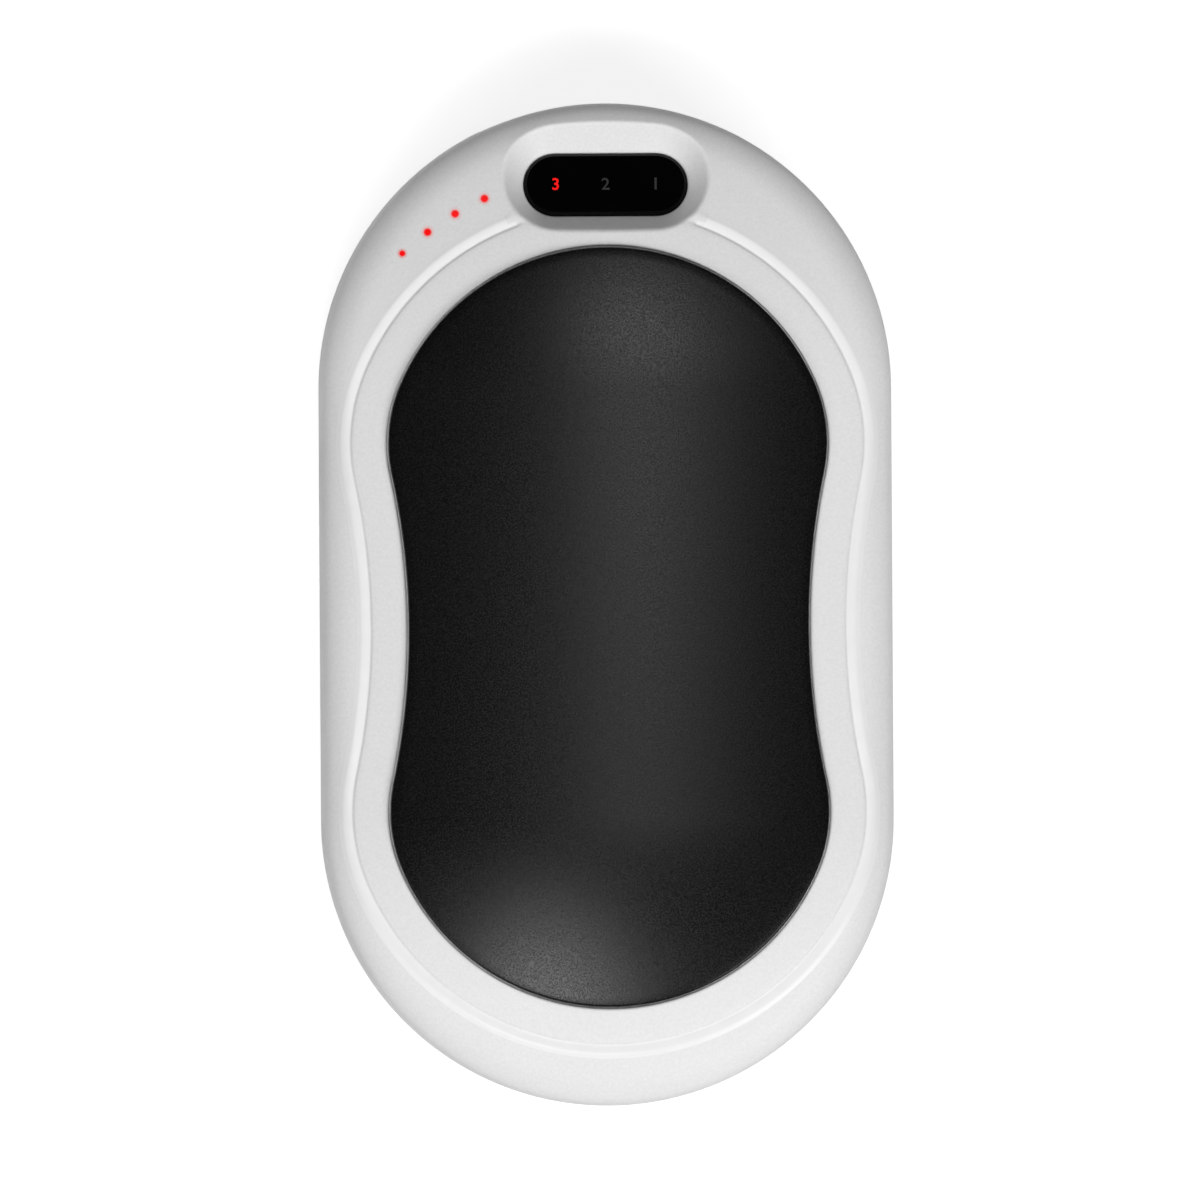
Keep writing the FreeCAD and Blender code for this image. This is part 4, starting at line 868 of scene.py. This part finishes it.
def shell_with_dish(name, points, faces, finishes):
    """Object of the shell's grid and the dish's rows, with the strip between them filled with triangles."""
    mesh = bpy.data.meshes.new(name)
    mesh.from_pydata((points / 1000).tolist(), [], faces)
    mesh.polygons.foreach_set("material_index", finishes)
    work = bmesh.new()
    work.from_mesh(mesh)
    loose = [v for v in work.verts if not v.link_faces]
    bmesh.ops.delete(work, geom=loose, context="VERTS")
    edges = [e for e in work.edges if e.is_boundary]
    bmesh.ops.triangle_fill(work, edges=edges, use_beauty=True, normal=(0, 0, 1))
    bmesh.ops.recalc_face_normals(work, faces=work.faces)
    work.to_mesh(mesh)
    work.free()
    mesh.shade_smooth()
    return show(name, mesh)


finishes = np.concatenate([index[kept], np.zeros(len(dish_faces) + 1, np.int32)])
front_shell = shell_with_dish("front_shell", all_points, all_faces, finishes)
front_white = moulded_white("front_white")
front_shell.data.materials.append(front_white)
front_shell.data.materials.append(bead_polish_and_painted_highlight)
DOT_COUNT = 4
DOT_ARC_R = 32.9
DOT_FIRST = 113.9
DOT_STEP = 6.3
DOT_R = 0.42
DOT_GAP = 0.03
DOT_HOLE_LOW = PARTING + 7
DOT_HOLE_HIGH = PARTING + 14
WINDOW_HOLE = (-3, 0.6)
dot_turn = np.radians(DOT_FIRST + DOT_STEP * np.arange(DOT_COUNT))
dot_centre = np.array([0.0, PLATE_Y + PLATE_HALF - PLATE_END_R])
dots = dot_centre + DOT_ARC_R * np.stack([np.cos(dot_turn), np.sin(dot_turn)], -1)
_, circle = pill(0.0, END_POINTS)
to_dish_floor = (Matrix.Translation((0, LENS_Y, PARTING + DISH_FLOOR_Z))
                 @ Matrix.Rotation(-DISH_TILT, 4, "X"))
DOT_HALO = 0.82
DOT_FADE = ((0.0, 1.0), (0.4, 1.0), (0.58, 0.28), (1.0, 0.0))
DOT_SPREAD = (1.0, 1.0, 1.0, 0.82)
DOT_GLOW_RED = (0.4, 0.002, 0.002)
DOT_SHINE = 0.61


def dot_glow(tree):
    """Share of red light that a point gets: one on a dot's core, then a faint halo that falls to none."""
    place = tree.nodes.new("ShaderNodeTexCoord")
    flat = tree.nodes.new("ShaderNodeVectorMath")
    flat.operation = "MULTIPLY"
    flat.inputs[1].default_value = (1, 1, 0)
    tree.links.new(place.outputs["Object"], flat.inputs[0])
    nearest = None
    for (x, y), wide in zip(dots / 1000, DOT_SPREAD):
        gap = tree.nodes.new("ShaderNodeVectorMath")
        gap.operation = "DISTANCE"
        gap.inputs[1].default_value = (x, y, 0)
        tree.links.new(flat.outputs["Vector"], gap.inputs[0])
        scaled = tree.nodes.new("ShaderNodeMath")
        scaled.operation = "DIVIDE"
        scaled.inputs[1].default_value = wide
        tree.links.new(gap.outputs["Value"], scaled.inputs[0])
        least = tree.nodes.new("ShaderNodeMath")
        least.operation = "MINIMUM"
        least.inputs[1].default_value = 1.0
        tree.links.new(scaled.outputs["Value"], least.inputs[0])
        if nearest:
            tree.links.new(nearest, least.inputs[1])
        nearest = least.outputs["Value"]
    share = tree.nodes.new("ShaderNodeMath")
    share.operation = "DIVIDE"
    share.inputs[1].default_value = DOT_HALO / 1000
    tree.links.new(nearest, share.inputs[0])
    fade = tree.nodes.new("ShaderNodeValToRGB")
    stops = fade.color_ramp.elements
    while len(stops) < len(DOT_FADE):
        stops.new(0.5)
    for stop, (position, level) in zip(stops, DOT_FADE):
        stop.position = position
        stop.color = (level, level, level, 1)
    tree.links.new(share.outputs["Value"], fade.inputs["Fac"])
    return fade.outputs["Color"]


def lit_red(finish):
    """Paints the dots' red glow on a finish: blends it to a deep red by its nearness to a dot, and lets it
    shine by as much.
    """
    tree = finish.node_tree
    shader = tree.nodes["Principled BSDF"]
    shader.inputs["Emission Color"].default_value = (1, 0, 0, 1)
    glow = dot_glow(tree)
    blend = tree.nodes.new("ShaderNodeMix")
    blend.data_type = "RGBA"
    plain = shader.inputs["Base Color"].links[0].from_socket
    tree.links.new(glow, blend.inputs["Factor"])
    tree.links.new(plain, blend.inputs["A"])
    blend.inputs["B"].default_value = (*DOT_GLOW_RED, 1)
    tree.links.new(blend.outputs["Result"], shader.inputs["Base Color"])
    shine = tree.nodes.new("ShaderNodeMath")
    shine.operation = "MULTIPLY"
    shine.inputs[1].default_value = DOT_SHINE
    tree.links.new(glow, shine.inputs[0])
    tree.links.new(shine.outputs["Value"], shader.inputs["Emission Strength"])
    return finish


# Painted red glow round the dot holes on the shell's white: a deep red tint and a faint shine.
lit_red(front_white)
holes = [prism(dot + (DOT_R + DOT_GAP) * circle, DOT_HOLE_LOW, DOT_HOLE_HIGH) for dot in dots]
holes.append(placed(prism(lens_spine + (LENS_R + LENS_GAP) * lens_normal, *WINDOW_HOLE), to_dish_floor))
cut_away(front_shell, case_openings() + holes)
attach(front_shell, "case")
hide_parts("front_housing")

# Display window
# A lens of smoked acrylic with an anti-glare face, a bevelled edge and a flange under the dish's floor.
# Three numerals for the heat levels stand on it, the highest one lit, over a white light box on the board.

LENS_PROUD = 0.2
LENS_BEVEL = 0.3
LENS_BEVEL_DROP = 0.3
LENS_FLANGE = 0.7
LENS_FLANGE_CLEAR = 0.05
LENS_FLANGE_SHEET = 0.8
LENS_FLANGE_TOP = -DISH_FLOOR - LENS_FLANGE_CLEAR
LENS_FLANGE_UNDER = LENS_FLANGE_TOP - LENS_FLANGE_SHEET


def lens_rows():
    """Rows of points of the lens, from the middle of its face over its bevel to the flange's underside."""
    flange_r = LENS_R + LENS_FLANGE
    reach = [0, LENS_R / 2, LENS_R - LENS_BEVEL, LENS_R, LENS_R, flange_r, flange_r, 0]
    height = [LENS_PROUD, LENS_PROUD, LENS_PROUD, LENS_PROUD - LENS_BEVEL_DROP, LENS_FLANGE_TOP,
              LENS_FLANGE_TOP, LENS_FLANGE_UNDER, LENS_FLANGE_UNDER]
    plans = lens_spine[None] + np.array(reach)[:, None, None] * lens_normal[None]
    return from_dish(plans[..., 0], plans[..., 1], np.array(height)[:, None]) + np.array([0, 0, PARTING])


window = lens_rows()
lens = put_mesh("window_lens", window, grid_faces(*window.shape[:2], closed=False))
window_black = new_finish("smoked_acrylic", (0.0006, 0.0006, 0.0007), 0.08, Specular_IOR_Level=0.12)
lens.data.materials.append(grain(*window_black, size=6.0, depth=0.002, rough=(0.06, 0.1),
                                 dark=(0.0005, 0.0005, 0.0006), light=(0.0008, 0.0008, 0.0009)))
lens.data.set_sharp_from_angle(angle=CREASE)
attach(lens, "case")
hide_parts("display_lens")

SIGN_HEIGHT = 1.35
SIGN_LIFT = 0.008
SIGN_BOLD = 0.012
sign_red = grain(*new_finish("sign_red", (0.3, 0.002, 0.002), 0.4, Emission_Strength=0.8,
                             Emission_Color=(1, 0, 0, 1)),
                 size=0.3, depth=0.001, rough=(0.35, 0.45), dark=(0.25, 0.001, 0.001),
                 light=(0.35, 0.003, 0.003))
sign_dim = grain(*new_finish("sign_dim", (0.02, 0.02, 0.022), 0.4), size=0.3, depth=0.001, rough=(0.35, 0.45),
                 dark=(0.02, 0.02, 0.022), light=(0.03, 0.03, 0.033))


def numeral(figure, x, finish):
    """One figure as a flat mesh on the lens, centred at a place along it."""
    words = bpy.data.curves.new("figure", "FONT")
    words.body = figure
    words.offset = SIGN_BOLD
    holder = show("figure", words)
    mesh = bpy.data.meshes.new_from_object(holder.evaluated_get(bpy.context.evaluated_depsgraph_get()))
    bpy.data.objects.remove(holder)
    points = np.empty(len(mesh.vertices) * 3)
    mesh.vertices.foreach_get("co", points)
    points = points.reshape(-1, 3)
    middle = (points.min(0) + points.max(0)) / 2
    points = (points - middle) * SIGN_HEIGHT / np.ptp(points[:, 1])
    place = from_dish(points[:, 0] + x, points[:, 1], LENS_PROUD + SIGN_LIFT) + np.array([0, 0, PARTING])
    mesh.vertices.foreach_set("co", (place / 1000).ravel())
    mesh.materials.append(finish)
    sign = show("numeral_" + figure, mesh)
    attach(sign, "case")


numeral("3", -LENS_HALF, sign_red)
numeral("2", 0.0, sign_dim)
numeral("1", LENS_HALF, sign_dim)
dress(grain(*new_finish("baffle_white", (0.85, 0.85, 0.85), 0.5), size=0.4, depth=0.01, rough=(0.45, 0.58),
            dark=(0.82, 0.82, 0.82), light=(0.87, 0.87, 0.87)), "display_light_box")

# Charge dots
# A clear polycarbonate comb lies under the front shell, and its four pins come up flush in the holes as
# dots. Red light sources on the board shine through it; their red glow is painted on the pins and on the
# shell round them.

guide_clear = grain(*new_finish("guide_clear", (0.76, 0.76, 0.76), 0.3), size=0.4, depth=0.002,
                    rough=(0.25, 0.35), dark=(0.74, 0.74, 0.74), light=(0.78, 0.78, 0.78))
dress(lit_red(guide_clear), "charge_light_guide")

# Studio
# A white table in white surroundings, a softbox on either side of the lower end, small panels overhead that
# show as soft lights in the plate's coat, two weak lamps for the far sides, and a camera almost straight
# above. The table's glow is only seen, directly or mirrored, and lights nothing.

TABLE_HALF = 3.0
TABLE_Z = -0.00002
TABLE_GLOW = 0.8
floor = show("table", bpy.data.meshes.new("table"))
table_corners = [(x * TABLE_HALF, y * TABLE_HALF, TABLE_Z) for x, y in ((-1, -1), (1, -1), (1, 1), (-1, 1))]
floor.data.from_pydata(table_corners, [], [(0, 1, 2, 3)])
table_white, table_shader = new_finish("table_white", (0.42, 0.42, 0.42), 0.9)
tree = table_white.node_tree
rays = tree.nodes.new("ShaderNodeLightPath")
seen = tree.nodes.new("ShaderNodeMath")
seen.operation = "MAXIMUM"
tree.links.new(rays.outputs["Is Camera Ray"], seen.inputs[0])
glossy = tree.nodes.new("ShaderNodeMath")
glossy.operation = "MAXIMUM"
tree.links.new(rays.outputs["Is Glossy Ray"], glossy.inputs[0])
tree.links.new(rays.outputs["Is Transmission Ray"], glossy.inputs[1])
tree.links.new(glossy.outputs["Value"], seen.inputs[1])
glow = tree.nodes.new("ShaderNodeMath")
glow.operation = "MULTIPLY"
glow.inputs[1].default_value = TABLE_GLOW
tree.links.new(seen.outputs["Value"], glow.inputs[0])
table_shader.inputs["Emission Color"].default_value = (1, 1, 1, 1)
tree.links.new(glow.outputs["Value"], table_shader.inputs["Emission Strength"])
floor.data.materials.append(table_white)

world = bpy.data.worlds.new("studio")
world.use_nodes = True
bpy.context.scene.world = world
SKY_LIGHT = 0.05
sky = world.node_tree.nodes["Background"]
sky.inputs["Color"].default_value = (1, 1, 1, 1)
sky_rays = world.node_tree.nodes.new("ShaderNodeLightPath")
sky_level = world.node_tree.nodes.new("ShaderNodeMath")
sky_level.operation = "MAXIMUM"
sky_level.inputs[1].default_value = SKY_LIGHT
world.node_tree.links.new(sky_rays.outputs["Is Camera Ray"], sky_level.inputs[0])
world.node_tree.links.new(sky_level.outputs["Value"], sky.inputs["Strength"])


def softbox(name, azimuth, elevation, away, size, power):
    """Square lamp that faces the warmer. Azimuth is in degrees from the lower end towards the right."""
    round_turn = math.radians(azimuth)
    up_turn = math.radians(elevation)
    towards = Vector((math.sin(round_turn) * math.cos(up_turn), -math.cos(round_turn) * math.cos(up_turn),
                      math.sin(up_turn)))
    lamp = bpy.data.lights.new(name, "AREA")
    lamp.size = size
    lamp.energy = power
    holder = show(name, lamp)
    holder.location = Vector((0, 0, PARTING / 1000)) + away * towards
    holder.rotation_euler = (-towards).to_track_quat("-Z", "Y").to_euler()


KEY_AWAY = 1.2
KEY_SIZE = 0.45
softbox("right_key", 45, 45, KEY_AWAY, KEY_SIZE, 6.5)
softbox("left_key", -45, 45, KEY_AWAY, KEY_SIZE, 3.3)
softbox("far_low", 180, 20, KEY_AWAY, KEY_SIZE, 0.35)
softbox("left_low", -95, 6, KEY_AWAY, KEY_SIZE, 0.3)
PANEL_AWAY = 1.4
PANEL_SIZE = 0.22
softbox("near_panel", -2.7, 69.0, PANEL_AWAY, PANEL_SIZE, 1.8)
softbox("near_left_panel", -20.8, 67.5, PANEL_AWAY, PANEL_SIZE, 2.5)
softbox("left_panel", -19.6, 75.1, PANEL_AWAY, PANEL_SIZE, 1.3)
softbox("top_panel", 135.0, 84.3, PANEL_AWAY, PANEL_SIZE, 0.95)
softbox("far_panel", 158.2, 79.2, PANEL_AWAY, PANEL_SIZE, 1.05)
softbox("right_panel", 114.4, 77.9, PANEL_AWAY, PANEL_SIZE, 0.4)

CAMERA_AWAY = 6.0
FRAME_WIDE = 0.1316
CAMERA_TILT = math.radians(1.6)
CAMERA_ROLL = math.radians(-0.34)
AIM = Vector((-0.00064, 0.00047, PARTING / 1000))
SENSOR_WIDE = 36
camera_data = bpy.data.cameras.new("camera")
camera_data.sensor_width = SENSOR_WIDE
camera_data.lens = SENSOR_WIDE * CAMERA_AWAY / FRAME_WIDE
camera = show("camera", camera_data)
turn = Matrix.Rotation(-CAMERA_TILT, 4, "Y") @ Matrix.Rotation(CAMERA_ROLL, 4, "Z")
camera.matrix_world = Matrix.Translation(AIM) @ turn @ Matrix.Translation((0, 0, CAMERA_AWAY))
bpy.context.scene.camera = camera
bpy.context.scene.view_settings.view_transform = "Standard"
